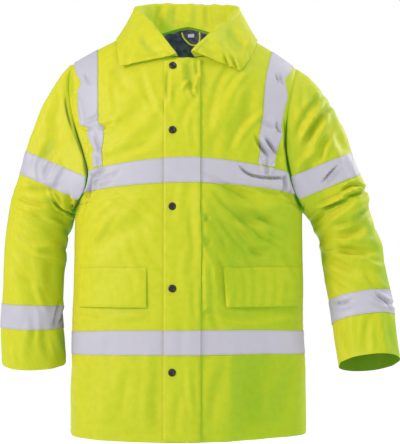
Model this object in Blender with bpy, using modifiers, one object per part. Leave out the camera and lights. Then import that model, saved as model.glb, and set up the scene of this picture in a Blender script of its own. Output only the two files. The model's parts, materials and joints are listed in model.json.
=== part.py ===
"""Hi-vis work jacket, filled out as it hangs from the shoulders with nobody in it.

Every piece that a maker cuts is one named object: fronts, back, sleeves, collar, storm flap,
pocket flaps, reflective tapes, the lining that shows in the neck, hanger loop and snaps.

Frame: metres, +Z up, the front faces -Y and the wearer's left is +X. The origin is inside the
neck, level with the neck seam at the back, where the wearer's shoulders carry the jacket.
"""

import bmesh
import bpy
import numpy as np
from mathutils import Vector

# ---------------------------------------------------------------- driving sizes, in metres
CLOTH_WALL = 0.0022      # shell cloth with its wadding, pressed
TAPE_WALL = 0.0010       # reflective tape
FLAP_WALL = 0.0026       # two layers of shell cloth
COLLAR_WALL = 0.0024
SEAM_GAP = 0.0003        # clearance between pieces at a seam
TAPE_SHORT = 0.0030      # end of a tape before the seam that it runs into
TAPE_LIFT = 0.0009       # underside of a tape above the cloth that it is sewn to
FLAP_LIFT = 0.0030       # underside of the storm flap above the fronts, over their tapes

HEM_Z = -0.866
UNDERARM_Z = -0.386
BASE_LIFT = 0.016        # how much higher the underarm level runs at the centre
UNDERARM_HALF = 0.2435   # half width at the underarm

FRONT, BACK = -1, 1      # which face of the body, as the sign of Y
RIGHT, LEFT = -1, 1      # the wearer's right and left, as the sign of X

# A level section is a superellipse: 2 is an ellipse, more is squarer.
SECTION_SHAPE = 2.35
# The chest closes over the shoulders as a superellipse too.
VAULT_SHAPE = 2.7

# Below the chest tape the wearer's left front falls back from the storm flap towards the side.
FALL_BACK = 0.36                 # share of its depth that it loses, nearly reached at the side
FALL_BACK_START = 0.12           # share of the half width over which the fall sets in
FALL_BACK_RISES = (0.07, -0.25)  # where it begins and where it is full

# "rise" runs up the body: -1 at the hem, 0 at the underarm, 1 at the shoulder seam.
BODY_COLUMNS = ("rise", "half_width", "front_depth", "back_depth")
BODY = (
    (-1.00, 0.2520, 0.158, 0.132),
    (-0.55, 0.2480, 0.155, 0.130),
    (0.00, 0.2435, 0.151, 0.134),
    (0.50, 0.2520, 0.149, 0.137),
    (0.80, 0.2640, 0.147, 0.134),
    (1.00, 0.2680, 0.146, 0.130),
)

# Height of the shoulder seam at a distance out from the centre.
SHOULDER_COLUMNS = ("out", "height")
SHOULDER = {
    RIGHT: ((0.0, 0.030), (0.050, 0.020), (0.092, 0.006), (0.150, -0.0205),
            (0.195, -0.0425), (0.249, -0.0715), (0.290, -0.094)),
    LEFT: ((0.0, 0.030), (0.050, 0.019), (0.092, 0.003), (0.147, -0.0265),
           (0.182, -0.0475), (0.2337, -0.0825), (0.290, -0.122)),
}
BACK_NECK_LIFT = 0.016   # the back neck stands above the line that joins the shoulders

# Neckline: an oval around the neck point of the shoulder seam.
NECK_HALF = 0.092
FRONT_NECK_RISE = 0.73
BACK_NECK_RISE = 0.945
CENTRE_OUT = 0.0004      # the fronts meet on the zip, this far from the centre line

# Distance of the armhole seam from the centre, up the body.
ARMHOLE_COLUMNS = ("rise", "out")
ARMHOLE = {
    (RIGHT, FRONT): ((0.0, 0.2435), (0.086, 0.2160), (0.172, 0.2090), (0.322, 0.2190),
                     (0.49, 0.2360), (0.654, 0.2490), (0.792, 0.2560), (0.91, 0.2560), (1.0, 0.2490)),
    (LEFT, FRONT): ((0.0, 0.2435), (0.089, 0.2240), (0.188, 0.2130), (0.332, 0.2060),
                    (0.48, 0.2058), (0.623, 0.2105), (0.754, 0.2180), (0.886, 0.2270), (1.0, 0.2337)),
    (RIGHT, BACK): ((0.0, 0.2435), (0.09, 0.2265), (0.20, 0.2205), (0.35, 0.2235),
                    (0.50, 0.2310), (0.66, 0.2410), (0.80, 0.2490), (0.92, 0.2520), (1.0, 0.2490)),
    (LEFT, BACK): ((0.0, 0.2435), (0.09, 0.2290), (0.20, 0.2210), (0.35, 0.2170),
                   (0.50, 0.2170), (0.66, 0.2205), (0.80, 0.2260), (0.92, 0.2310), (1.0, 0.2337)),
}

# Rows of the panels, up the body. Tapes begin and end on rows.
HIP_TAPE = (-0.6464, -0.5464)
CHEST_TAPE = (0.0725, 0.2025)
PANEL_ROWS = (-1.0, -0.92, -0.83, -0.74, HIP_TAPE[0], HIP_TAPE[1], -0.46, -0.37, -0.28, -0.19, -0.095, 0.0,
              0.012, 0.036, CHEST_TAPE[0], CHEST_TAPE[1], 0.32, 0.44, 0.56, 0.67, 0.77, 0.86, 0.925, 0.97, 0.992, 1.0)
NECK_ROW = 0.44          # above this row the rows bend down towards the neckline
NECK_CELLS = 5           # cells of the top row that lie on the neckline
PANEL_COLUMNS = 12       # cells from the centre to the side

# Soft folds of the body: where the middle is, the way it runs (degrees from level, up to +X),
# its half length, half width and height, out (+) or in (-).
FOLD_COLUMNS = ("x", "z", "turn", "reach", "width", "height")
FRONT_FOLDS = (
    (0.120, -0.430, -28.0, 0.110, 0.026, 0.0050),
    (0.110, -0.492, -30.0, 0.100, 0.024, -0.0040),
    (0.150, -0.385, -20.0, 0.070, 0.022, -0.0045),
    (0.165, -0.200, 62.0, 0.080, 0.022, -0.0035),
    (0.085, -0.150, -48.0, 0.070, 0.026, -0.0035),
    (-0.150, -0.420, 24.0, 0.090, 0.028, 0.0035),
    (-0.120, -0.200, 40.0, 0.080, 0.028, -0.0030),
    (-0.140, -0.770, 82.0, 0.080, 0.028, 0.0050),
    (-0.060, -0.780, 92.0, 0.070, 0.024, -0.0045),
    (0.070, -0.780, 98.0, 0.070, 0.024, 0.0050),
    (0.150, -0.770, 84.0, 0.080, 0.028, -0.0045),
)
BACK_FOLDS = (
    (-0.130, -0.330, 50.0, 0.090, 0.030, -0.0045),
    (0.135, -0.320, -48.0, 0.090, 0.030, -0.0045),
    (0.000, -0.180, 90.0, 0.090, 0.035, -0.0030),
    (-0.080, -0.520, 76.0, 0.110, 0.030, 0.0045),
    (0.090, -0.540, -78.0, 0.110, 0.030, 0.0045),
    (0.000, -0.780, 90.0, 0.080, 0.030, -0.0045),
    (-0.160, -0.780, 86.0, 0.080, 0.028, 0.0045),
    (0.160, -0.780, -86.0, 0.080, 0.028, 0.0045),
)

# Sleeves: rings from the underarm to the cuff. Tilt leans the arm out from vertical, lean
# carries the hand forward, both in degrees. "fore" is how far forward the middle lies.
SLEEVE_COLUMNS = ("out", "height", "fore", "tilt", "lean", "width", "depth")
SLEEVE = {
    RIGHT: (
        (0.3150, -0.3885, -0.004, 21.0, 0.0, 0.1440, 0.152),
        (0.3262, -0.4470, -0.006, 13.0, 0.0, 0.1390, 0.138),
        (0.3320, -0.5050, -0.006, 7.0, 0.0, 0.1325, 0.126),
        (0.3347, -0.5620, -0.005, 3.0, -1.0, 0.1305, 0.118),
        (0.3365, -0.6160, -0.004, 1.5, -3.0, 0.1320, 0.112),
        (0.3345, -0.6700, -0.006, 0.0, -4.0, 0.1375, 0.108),
        (0.3330, -0.7190, -0.009, 0.0, -6.0, 0.1375, 0.104),
    ),
    LEFT: (
        (0.3280, -0.3900, -0.006, 23.0, -2.0, 0.1350, 0.150),
        (0.3440, -0.4360, -0.012, 18.0, 0.0, 0.1240, 0.140),
        (0.3555, -0.4780, -0.012, 10.0, 6.0, 0.1340, 0.128),
        (0.3595, -0.5160, -0.006, 7.0, 12.0, 0.1340, 0.122),
        (0.3680, -0.5720, 0.010, 9.0, 15.0, 0.1340, 0.116),
        (0.3735, -0.6170, 0.022, 8.0, 16.0, 0.1340, 0.112),
        (0.3785, -0.6640, 0.035, 7.0, 17.0, 0.1310, 0.110),
        (0.3834, -0.7140, 0.050, 5.0, 17.0, 0.1300, 0.108),
    ),
}
CAP_FULLNESS = {RIGHT: 0.70, LEFT: 1.15}   # how far the cap swells between armhole and underarm ring
CAP_SLOPE = (0.85, 0.53)                   # way out and down that the cap leaves the shoulder
# Cells down a sleeve: to the upper tape, over it, to the lower tape, over it, and to the cuff.
SLEEVE_CELLS = (3, 3, 10, 2, 3)
UNDERARM_GAP = 0.0016    # more clearance at the armhole seam where the sleeve turns over it
SLEEVE_CLEARANCE, SLEEVE_CLEAR_RING = 0.0045, 0.12   # off the body, reached at this ring
ARMHOLE_REACH = 0.012    # the clearance fades out this far past the armhole
CUFF_DIP = {RIGHT: 0.007, LEFT: 0.0}       # how much lower the cuff hangs at its front

# Folds of a sleeve: the share of the way round (0 outer side, 0.25 front, 0.5 inner side),
# the place down the rings, the way it runs (degrees from level round the arm), half length and
# half width in metres, and height.
SLEEVE_FOLD_COLUMNS = ("round", "ring", "turn", "reach", "width", "height")
SLEEVE_FOLDS = {
    RIGHT: (
        (0.40, 1.15, -28.0, 0.070, 0.013, -0.0075),
        (0.30, 1.55, -12.0, 0.075, 0.015, 0.0055),
        (0.42, 1.95, -18.0, 0.060, 0.013, -0.0065),
        (0.36, 2.60, -10.0, 0.060, 0.014, 0.0040),
        (0.20, 0.62, 40.0, 0.070, 0.018, -0.0045),
        (0.44, 5.10, 38.0, 0.040, 0.010, -0.0045),
        (0.70, 1.40, 20.0, 0.080, 0.016, -0.0060),
        (0.80, 2.10, -14.0, 0.080, 0.016, 0.0050),
    ),
    LEFT: (
        (0.28, 0.45, -62.0, 0.080, 0.016, -0.0060),
        (0.16, 0.50, -64.0, 0.080, 0.016, 0.0060),
        (0.14, 1.10, -18.0, 0.050, 0.015, 0.0080),
        (0.16, 1.75, -20.0, 0.060, 0.015, -0.0065),
        (0.28, 2.35, 26.0, 0.070, 0.014, 0.0070),
        (0.34, 2.90, 24.0, 0.060, 0.013, -0.0060),
        (0.26, 3.45, 22.0, 0.060, 0.014, 0.0045),
        (0.72, 1.60, 18.0, 0.080, 0.016, -0.0060),
        (0.80, 2.50, -16.0, 0.080, 0.016, 0.0060),
    ),
}

# Upper sleeve tape: it lies between two planes square to the arm, this far from the origin.
ARM_TAPE_TILT = {RIGHT: 24.2, LEFT: 22.5}
ARM_TAPE = {RIGHT: (0.3832, 0.4332), LEFT: (0.3819, 0.4319)}
ARM_TAPE_START = 0.06                       # ring beside the armhole seam where the tape stops
ARM_TAPE_LEAST = 0.018                      # narrowest part that is kept beside the armhole seam
UNTAPED_RINGS = (0.30, 0.60)                # rings of the same rows where there is no upper tape
# Lower sleeve tape: between two heights of the arm's middle line.
WRIST_TAPE = {RIGHT: (-0.592, -0.642), LEFT: (-0.577, -0.625)}

# Brace tapes: inner and outer edge, up the body, on each face.
BRACE_COLUMNS = ("rise", "inner", "outer")
BRACE = {
    (RIGHT, FRONT): ((0.2120, 0.1770, 0.1955), (0.385, 0.1770, 0.2030), (0.51, 0.1790, 0.2110),
                     (0.635, 0.1850, 0.2250), (0.80, 0.1875, 0.2320), (0.92, 0.1905, 0.2390), (1.0, 0.1955, 0.2450)),
    (LEFT, FRONT): ((0.2120, 0.1480, 0.1800), (0.325, 0.1500, 0.1860), (0.42, 0.1510, 0.1910),
                    (0.52, 0.1550, 0.1960), (0.665, 0.1600, 0.2060), (0.84, 0.1680, 0.2150), (1.0, 0.1818, 0.2285)),
    (RIGHT, BACK): ((0.2120, 0.1630, 0.2130), (0.50, 0.1720, 0.2220), (0.80, 0.1860, 0.2360), (1.0, 0.1955, 0.2450)),
    (LEFT, BACK): ((0.2120, 0.1580, 0.2080), (0.50, 0.1590, 0.2090), (0.80, 0.1690, 0.2180), (1.0, 0.1818, 0.2285)),
}
BRACE_COLUMNS_ACROSS = 5
BRACE_ROWS = (0.2120, 0.32, 0.44, 0.56, 0.67, 0.77, 0.86, 0.925, 0.97, 0.992, 1.0)

# Storm flap over the zip, sewn to the wearer's left front.
FLAP_FREE_X, FLAP_SEAM_X = -0.0475, 0.0265
FLAP_TOP_RISE = 0.722
SNAP_X = -0.0298
SNAP_HEIGHTS = (-0.0990, -0.2340, -0.3900, -0.5565, -0.7250)
SNAP_RADIUS, SNAP_HEIGHT = 0.0080, 0.0030
SNAP_STEPS = 12

# Pocket flaps: inner and outer edge, top and bottom.
POCKET = {RIGHT: (0.0825, 0.2250, -0.5140, -0.5950), LEFT: (0.0735, 0.2320, -0.5130, -0.5950)}
POCKET_LIFT_TOP, POCKET_LIFT_BOTTOM = 0.0018, 0.0046
POCKET_COLUMNS = 10

# Collar: "way" runs along the neck seam, 0 at the right front end, 1 and 3 at the shoulders,
# 2 at the centre back and 4 at the left front end. Crest of the roll and edge of the fall.
COLLAR_COLUMNS = ("way", "crest_x", "crest_y", "crest_z", "edge_x", "edge_y", "edge_z")
COLLAR = (
    (0.14, -0.0235, -0.1330, -0.0735, -0.1400, -0.1130, -0.0960),
    (0.45, -0.0560, -0.1020, -0.0260, -0.1450, -0.1000, -0.0720),
    (0.75, -0.0830, -0.0560, 0.0140, -0.1490, -0.0700, -0.0420),
    (1.05, -0.1110, 0.0050, 0.0520, -0.1520, 0.0050, -0.0140),
    (1.35, -0.1000, 0.0500, 0.0690, -0.1310, 0.0600, -0.0080),
    (1.65, -0.0600, 0.0770, 0.0800, -0.0790, 0.0950, -0.0040),
    (2.00, 0.0000, 0.0830, 0.0800, 0.0000, 0.1060, -0.0030),
    (2.35, 0.0580, 0.0760, 0.0770, 0.0790, 0.0950, -0.0050),
    (2.65, 0.0920, 0.0500, 0.0690, 0.1290, 0.0600, -0.0100),
    (2.95, 0.1040, 0.0080, 0.0540, 0.1480, 0.0060, -0.0200),
    (3.25, 0.0840, -0.0500, 0.0190, 0.1430, -0.0720, -0.0460),
    (3.55, 0.0510, -0.0940, -0.0190, 0.1300, -0.0980, -0.0780),
    (3.90, 0.0075, -0.1320, -0.0680, 0.1100, -0.1150, -0.1070),
)
COLLAR_CELLS = 30
NECK_MIDDLE = np.array((0.0, -0.02, 0.03))
COLLAR_FOOT_OFF = 0.0016     # foot of the stand beyond the edge of the panels
COLLAR_FOOT_DEEP = 0.0006    # and below their outer side
ROLL_RADIUS = 0.0042     # of the crest where the stand turns over into the fall
FALL_CLEARANCE = 0.0045  # of the fall above the panels

LINING_WALL = 0.0012
LINING_LIFT = 0.0018     # of the lining inside the back panel
LINING_SHORT = 0.007     # edge of the lining from the side seams and armholes
LINING_ROWS = (-0.92, -0.74, HIP_TAPE[1], -0.37, -0.19) + PANEL_ROWS[10:-1]
LINING_DEEPER = 0.0040   # how much deeper it hangs at the hem than at the chest

# Hanger loop of round cord, sewn into the neck seam at both ends: its route across and down.
LOOP_COLUMNS = ("x", "z")
LOOP = (
    (-0.0163, 0.0165), (-0.0125, 0.0075), (-0.0050, -0.0005), (0.0040, -0.0065), (0.0130, -0.0095),
    (0.0205, -0.0080), (0.0255, -0.0025), (0.0276, 0.0060), (0.0272, 0.0165),
)
LOOP_RADIUS = 0.0015
LOOP_POINTS = 19
SNAP_GAP = 0.0006        # between a snap and the flap
LOOP_GAP = 0.0022        # between the hanger loop and the lining


# ---------------------------------------------------------------- small helpers
def column(table, columns, name):
    """One named column of a table, as an array."""
    return np.array([row[columns.index(name)] for row in table])


def smooth(at, knots, values):
    """A smooth curve through (knots, values), read at the places given."""
    at = np.clip(np.asarray(at, float), knots[0], knots[-1])
    slopes = np.gradient(values, knots)
    left = np.clip(np.searchsorted(knots, at, side="right") - 1, 0, len(knots) - 2)
    span = knots[left + 1] - knots[left]
    t = (at - knots[left]) / span
    return (values[left] * (2 * t**3 - 3 * t**2 + 1) + values[left + 1] * (3 * t**2 - 2 * t**3)
            + span * (slopes[left] * (t**3 - 2 * t**2 + t) + slopes[left + 1] * (t**3 - t**2)))


def from_table(table, columns, name, at, by=None):
    """A column of a table, read smoothly at places along its first column, or the one named by."""
    return smooth(at, column(table, columns, by or columns[0]), column(table, columns, name))


def signed_power(value, power):
    return np.sign(value) * np.abs(value) ** power


def unit(vectors):
    return vectors / np.linalg.norm(vectors, axis=-1, keepdims=True)


def stacked(x, y, z):
    return np.stack(np.broadcast_arrays(x, y, z), axis=-1)


# ---------------------------------------------------------------- the body
def base_height(out):
    """Height of the underarm level, which runs a little higher at the centre."""
    return UNDERARM_Z + BASE_LIFT * (1 - np.clip(out / UNDERARM_HALF, 0, 1) ** 3)


def shoulder_height(side, facing, out):
    height = from_table(SHOULDER[side], SHOULDER_COLUMNS, "height", out)
    lift = BACK_NECK_LIFT * np.clip(1 - (out / NECK_HALF) ** 2, 0, 1) ** 2
    return height + np.where(facing == BACK, lift, 0)


def height_at(side, facing, out, rise):
    base = base_height(out)
    below = HEM_Z + (base - HEM_Z) * (1 + rise)
    above = base + (shoulder_height(side, facing, out) - base) * rise
    return np.where(rise < 0, below, above)


def fold_height(folds, x, z):
    """Sum of the soft folds at (x, z): each is a bump across its line that fades at its ends."""
    total = np.zeros(np.broadcast(x, z).shape)
    for row in folds:
        fold = dict(zip(FOLD_COLUMNS, row))
        turn = np.radians(fold["turn"])
        along = (x - fold["x"]) * np.cos(turn) + (z - fold["z"]) * np.sin(turn)
        across = (z - fold["z"]) * np.cos(turn) - (x - fold["x"]) * np.sin(turn)
        total = total + fold["height"] * np.exp(-(across / fold["width"]) ** 2 - (along / fold["reach"]) ** 4)
    return total


def fall_back(share, rise):
    """Share of its depth that the wearer's left front loses at a share of the half width."""
    begin, full = FALL_BACK_RISES
    on = np.clip((begin - rise) / (begin - full), 0, 1)
    return FALL_BACK * on**2 * (3 - 2 * on) * share**2 / (share + FALL_BACK_START)


def torso(face, side, turn, rise):
    """Outer surface of the body. Turn is 0 at the centre and a quarter circle at the side.

    Past the side seam it runs on round the other face, and past the shoulder seam down it.
    """
    turn, rise = np.broadcast_arrays(np.asarray(turn, float), np.asarray(rise, float))
    level = np.where(rise > 1, 2 - rise, rise)
    half_width = from_table(BODY, BODY_COLUMNS, "half_width", level)
    reach = signed_power(np.cos(turn), 2 / SECTION_SHAPE)
    out = half_width * np.abs(np.sin(turn)) ** (2 / SECTION_SHAPE)
    x = side * np.sign(np.sin(turn)) * out
    facing = face * np.where(reach < 0, -1, 1) * np.where(rise > 1, -1, 1)
    depth = np.where(facing == FRONT, from_table(BODY, BODY_COLUMNS, "front_depth", level),
                     from_table(BODY, BODY_COLUMNS, "back_depth", level))
    vault = (1 - np.clip(level, 0, 1) ** VAULT_SHAPE) ** (1 / VAULT_SHAPE)
    z = height_at(side, facing, out, level)
    folds = np.where(facing == FRONT, fold_height(FRONT_FOLDS, x, z), fold_height(BACK_FOLDS, x, z))
    swell = 1 + folds * vault * np.abs(reach) / depth
    lost = np.where((facing == FRONT) & (x > 0), fall_back(out / half_width, level), 0)
    return stacked(x, facing * (depth * (1 - lost) * np.abs(reach) * vault * swell + SEAM_GAP / 2), z)


def torso_normal(face, side, turn, rise):
    step = 1e-3
    across = torso(face, side, turn + step, rise) - torso(face, side, turn - step, rise)
    up = torso(face, side, turn, rise + step) - torso(face, side, turn, rise - step)
    return unit(np.cross(across, up)) * -face * side


def turn_of(out, rise):
    """Turn at which the body is this far out from the centre."""
    half_width = from_table(BODY, BODY_COLUMNS, "half_width", rise)
    return np.arcsin(np.clip(np.abs(out) / half_width, 0, 1) ** (SECTION_SHAPE / 2))


def body_point(face, x, rise, lift):
    """Points over the body at a distance x from the centre, lifted off it."""
    x, rise = np.broadcast_arrays(np.asarray(x, float), np.asarray(rise, float))
    points = np.empty(x.shape + (3,))
    for side in (RIGHT, LEFT):
        own = (np.sign(x) == side) | ((x == 0) & (side == LEFT))
        turn = turn_of(x[own], rise[own])
        normal = torso_normal(face, side, turn, rise[own])
        points[own] = torso(face, side, turn, rise[own]) + normal * np.broadcast_to(lift, x.shape)[own][:, None]
    return points


def rise_of(side, facing, out, z):
    """The rise of a body point from its height."""
    base = base_height(out)
    below = (z - HEM_Z) / (base - HEM_Z) - 1
    above = (z - base) / (shoulder_height(side, facing, out) - base)
    return np.where(z < base, below, above)


def clear_of_body(points, clearance):
    """Points moved straight off the body where they come closer to it than the clearance."""
    points = points.copy()
    clearance = np.broadcast_to(clearance, points.shape[:-1])
    for side in (RIGHT, LEFT):
        for facing in (FRONT, BACK):
            own = ((points[..., 0] >= 0) == (side == LEFT)) & ((points[..., 1] < 0) == (facing == FRONT))
            near, least = points[own], clearance[own]
            out, z = np.abs(near[:, 0]), near[:, 2]
            rise = rise_of(side, facing, out, z)
            # Over the shoulder seam only the height counts, and over the open neck nothing does.
            high = rise >= 1
            # Past the armhole the body has no panel to stay clear of.
            armhole = from_table(ARMHOLE[side, facing], ARMHOLE_COLUMNS, "out", np.clip(rise, 0, 1))
            part = np.where(rise > 0, np.clip((armhole + ARMHOLE_REACH - out) / ARMHOLE_REACH, 0, 1), 1)
            raised = np.maximum(least - (z - shoulder_height(side, facing, out)), 0)
            near[:, 2] += np.where(high & (out > NECK_HALF), raised, 0) * part
            rise = np.clip(rise, -1, 0.999)
            turn = turn_of(out, rise)
            normal = torso_normal(facing, side, turn, rise)
            apart = np.sum((near - torso(facing, side, turn, rise)) * normal, axis=-1)
            near += normal * (np.where(high, 0, np.maximum(least - apart, 0)) * part)[:, None]
            points[own] = near
    return points


def neckline(face, share):
    """Distance out and rise of the neckline, from the centre (0) to the shoulder seam (1)."""
    start = FRONT_NECK_RISE if face == FRONT else BACK_NECK_RISE
    angle = np.asarray(share) * np.pi / 2
    return np.maximum(NECK_HALF * np.sin(angle), CENTRE_OUT), 1 - (1 - start) * np.cos(angle)


def outer_turn(face, side, rise):
    """Turn of a row's outer end: the side seam, then the armhole."""
    out = from_table(ARMHOLE[side, face], ARMHOLE_COLUMNS, "out", np.clip(rise, 0, 1))
    return np.where(rise <= 0, np.pi / 2, turn_of(out, rise))


def panel_places(face, side, rows, columns):
    """Turns and rises of a panel's grid. Its top row follows the neckline, then the shoulder seam."""
    rows = np.asarray(rows, float)[:, None]
    neck_cells = round(columns * NECK_CELLS / PANEL_COLUMNS)
    cell = np.arange(columns + 1)
    neck_out, neck_rise = neckline(face, np.minimum(cell / neck_cells, 1))
    shoulder_end = turn_of(from_table(ARMHOLE[side, face], ARMHOLE_COLUMNS, "out", 1.0), 1.0)
    shoulder_start = turn_of(NECK_HALF, 1.0)
    past = np.clip((cell - neck_cells) / (columns - neck_cells), 0, 1)
    top_turn = np.where(cell <= neck_cells, turn_of(neck_out, neck_rise),
                        shoulder_start + (shoulder_end - shoulder_start) * past)
    climb = np.clip((rows - NECK_ROW) / (1 - NECK_ROW), 0, 1)
    rises = np.where(rows <= NECK_ROW, rows, NECK_ROW + climb * (neck_rise[None, :] - NECK_ROW))
    blend = climb**2 * (3 - 2 * climb)
    share = (1 - blend) * cell[None, :] / columns + blend * top_turn[None, :] / shoulder_end
    start = turn_of(CENTRE_OUT if face == FRONT else 0.0, rises)
    end = outer_turn(face, side, rows)
    turns = np.where(climb >= 1, top_turn[None, :], np.maximum(end * share, start))
    return turns, rises


def panel_grid(face, side, rows, columns, lift=0.0):
    turns, rises = panel_places(face, side, rows, columns)
    return torso(face, side, turns, rises) + lift * torso_normal(face, side, turns, rises)


def whole_back(rows, columns, lift=0.0):
    """Both halves of the back as one grid, from the right side to the left."""
    right = panel_grid(BACK, RIGHT, rows, columns, lift)
    left = panel_grid(BACK, LEFT, rows, columns, lift)
    return np.concatenate([right[:, ::-1], left[:, 1:]], axis=1)


# ---------------------------------------------------------------- the sleeves
def armhole_path(side, face):
    """Rises up the armhole and how far along it each one lies, from the underarm."""
    rises = np.linspace(0, 1, 241)
    points = torso(face, side, outer_turn(face, side, rises), rises)
    lengths = np.concatenate([[0], np.cumsum(np.linalg.norm(np.diff(points, axis=0), axis=1))])
    return rises, lengths / lengths[-1]


ARMHOLE_PATHS = {(side, face): armhole_path(side, face) for side in (RIGHT, LEFT) for face in (FRONT, BACK)}


def armhole_round(side, face, rises):
    """Share of the way round the sleeve at which each rise of the armhole lies."""
    path_rises, path_shares = ARMHOLE_PATHS[side, face]
    share = np.interp(rises, path_rises, path_shares)
    return 0.5 * (1 - share) if face == FRONT else 0.5 + 0.5 * share


def armhole_edge(side, around, depth):
    """Points of the armhole where the sleeve begins, this deep inside the cloth."""
    around = np.mod(around, 1.0)
    points = np.empty(around.shape + (3,))
    for face in (FRONT, BACK):
        own = around <= 0.5 if face == FRONT else around > 0.5
        share = 1 - 2 * around[own] if face == FRONT else 2 * around[own] - 1
        path_rises, path_shares = ARMHOLE_PATHS[side, face]
        rise = np.interp(share, path_shares, path_rises)
        turn = outer_turn(face, side, rise)
        normal = torso_normal(face, side, turn, rise)
        before, after = np.clip(rise - 4e-3, 0, 1), np.clip(rise + 4e-3, 0, 1)
        along = torso(face, side, outer_turn(face, side, after), after)
        along = along - torso(face, side, outer_turn(face, side, before), before)
        # Square to the seam in the cloth: out from the body, and up under the arm.
        away = unit(np.cross(normal, along))
        outwards = unit(torso(face, side, turn, rise) - torso(face, side, turn - 1e-3, rise)) + (0.0, 0.0, 0.5)
        away *= np.sign(np.sum(away * outwards, axis=1, keepdims=True))
        gap = 1.5 * SEAM_GAP + UNDERARM_GAP * (1 - share[:, None]) ** 2
        points[own] = torso(face, side, turn, rise) - depth * normal + gap * away
    return points


def ring_frame(side, ring):
    """Middle, way down the arm, way out and way forward of a sleeve ring (1 is the underarm)."""
    table = SLEEVE[side]
    place = np.clip(ring - 1, 0, len(table) - 1)
    stations = np.arange(len(table), dtype=float)
    sizes = {name: smooth(place, stations, column(table, SLEEVE_COLUMNS, name)) for name in SLEEVE_COLUMNS}
    tilt, lean = np.radians(sizes["tilt"]), np.radians(sizes["lean"])
    middle = stacked(side * sizes["out"], -sizes["fore"], sizes["height"])
    down = stacked(side * np.sin(tilt) * np.cos(lean), -np.sin(lean), -np.cos(tilt) * np.cos(lean))
    outward = stacked(side * np.cos(tilt), np.zeros_like(tilt), np.sin(tilt))
    forward = stacked(-side * np.sin(tilt) * np.sin(lean), -np.cos(lean), np.cos(tilt) * np.sin(lean))
    return middle, down, outward, forward, sizes["width"], sizes["depth"]


def sleeve_fold_height(side, around, ring, girth):
    total = np.zeros(np.broadcast(around, ring).shape)
    for row in SLEEVE_FOLDS[side]:
        fold = dict(zip(SLEEVE_FOLD_COLUMNS, row))
        turn = np.radians(fold["turn"])
        apart = np.mod(around - fold["round"] + 0.5, 1.0) - 0.5
        level = apart * girth
        rise = (fold["ring"] - ring) * 0.055
        along = level * np.cos(turn) + rise * np.sin(turn)
        across = rise * np.cos(turn) - level * np.sin(turn)
        total = total + fold["height"] * np.exp(-(across / fold["width"]) ** 2 - (along / fold["reach"]) ** 4)
    return total


def sleeve(side, around, ring):
    """Outer surface of a sleeve: ring 0 is the armhole, 1 the underarm ring, the last the cuff."""
    around, ring = np.broadcast_arrays(np.asarray(around, float), np.asarray(ring, float))
    middle, down, outward, forward, width, depth = ring_frame(side, np.maximum(ring, 1))
    angle = 2 * np.pi * around
    cos, sin = np.cos(angle)[..., None], np.sin(angle)[..., None]
    radial = unit(cos * outward + sin * forward)
    oval = middle + cos * outward * width[..., None] / 2 + sin * forward * depth[..., None] / 2
    start = armhole_edge(side, around, 0.0)
    gap = np.linalg.norm(oval - start, axis=-1, keepdims=True)
    slope = stacked(side * CAP_SLOPE[0], 0.0, -CAP_SLOPE[1])
    under = ((1 - np.cos(angle)) / 2)[..., None]
    leave = unit(slope * (1 - under) + down * under)
    full = CAP_FULLNESS[side] * (1 - under) + under
    t = np.minimum(ring, 1)[..., None]
    cap = (start * (2 * t**3 - 3 * t**2 + 1) + oval * (3 * t**2 - 2 * t**3)
           + gap * full * (leave * (t**3 - 2 * t**2 + t) + down * (t**3 - t**2)))
    points = np.where(ring[..., None] < 1, cap, oval)
    girth = np.pi * (width + depth) / 2
    fade = np.clip(ring / 0.35, 0, 1) ** 2
    last = len(SLEEVE[side])
    dip = CUFF_DIP[side] * np.clip(ring - last + 1, 0, 1) ** 2 * np.clip(np.sin(angle), 0, 1)
    points = points + radial * (sleeve_fold_height(side, around, ring, girth) * fade)[..., None]
    points[..., 2] -= dip
    return clear_of_body(points, SLEEVE_CLEARANCE * np.clip(ring / SLEEVE_CLEAR_RING, 0, 1))


def sleeve_normal(side, around, ring):
    step = 2e-3
    last = len(SLEEVE[side])
    ahead, behind = np.minimum(ring + step, last), np.maximum(ring - step, 0)
    across = sleeve(side, around + step, ring) - sleeve(side, around - step, ring)
    along = sleeve(side, around, ahead) - sleeve(side, around, behind)
    return unit(np.cross(across, along)) * side


def sleeve_rounds(side):
    """Shares round the sleeve of its grid, which meet the panels' rows at the armhole."""
    rises = np.array([row for row in PANEL_ROWS if row >= 0])
    front = armhole_round(side, FRONT, rises[::-1])
    back = armhole_round(side, BACK, rises)
    return np.concatenate([front, back[1:-1]])


def ring_at_height(side, height):
    """The ring whose middle lies at this height."""
    rings = np.linspace(1, len(SLEEVE[side]), 400)
    heights = ring_frame(side, rings)[0][:, 2]
    return float(np.interp(-height, -heights, rings))


def ring_at_plane(side, around, normal, offset):
    """Rings at which the sleeve crosses a plane, found by halving, a value for each share round."""
    low, high = np.zeros_like(around), np.full_like(around, 2.5)
    for _ in range(30):
        middle = (low + high) / 2
        beyond = sleeve(side, around, middle) @ normal > offset
        high = np.where(beyond, middle, high)
        low = np.where(beyond, low, middle)
    return (low + high) / 2


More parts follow.
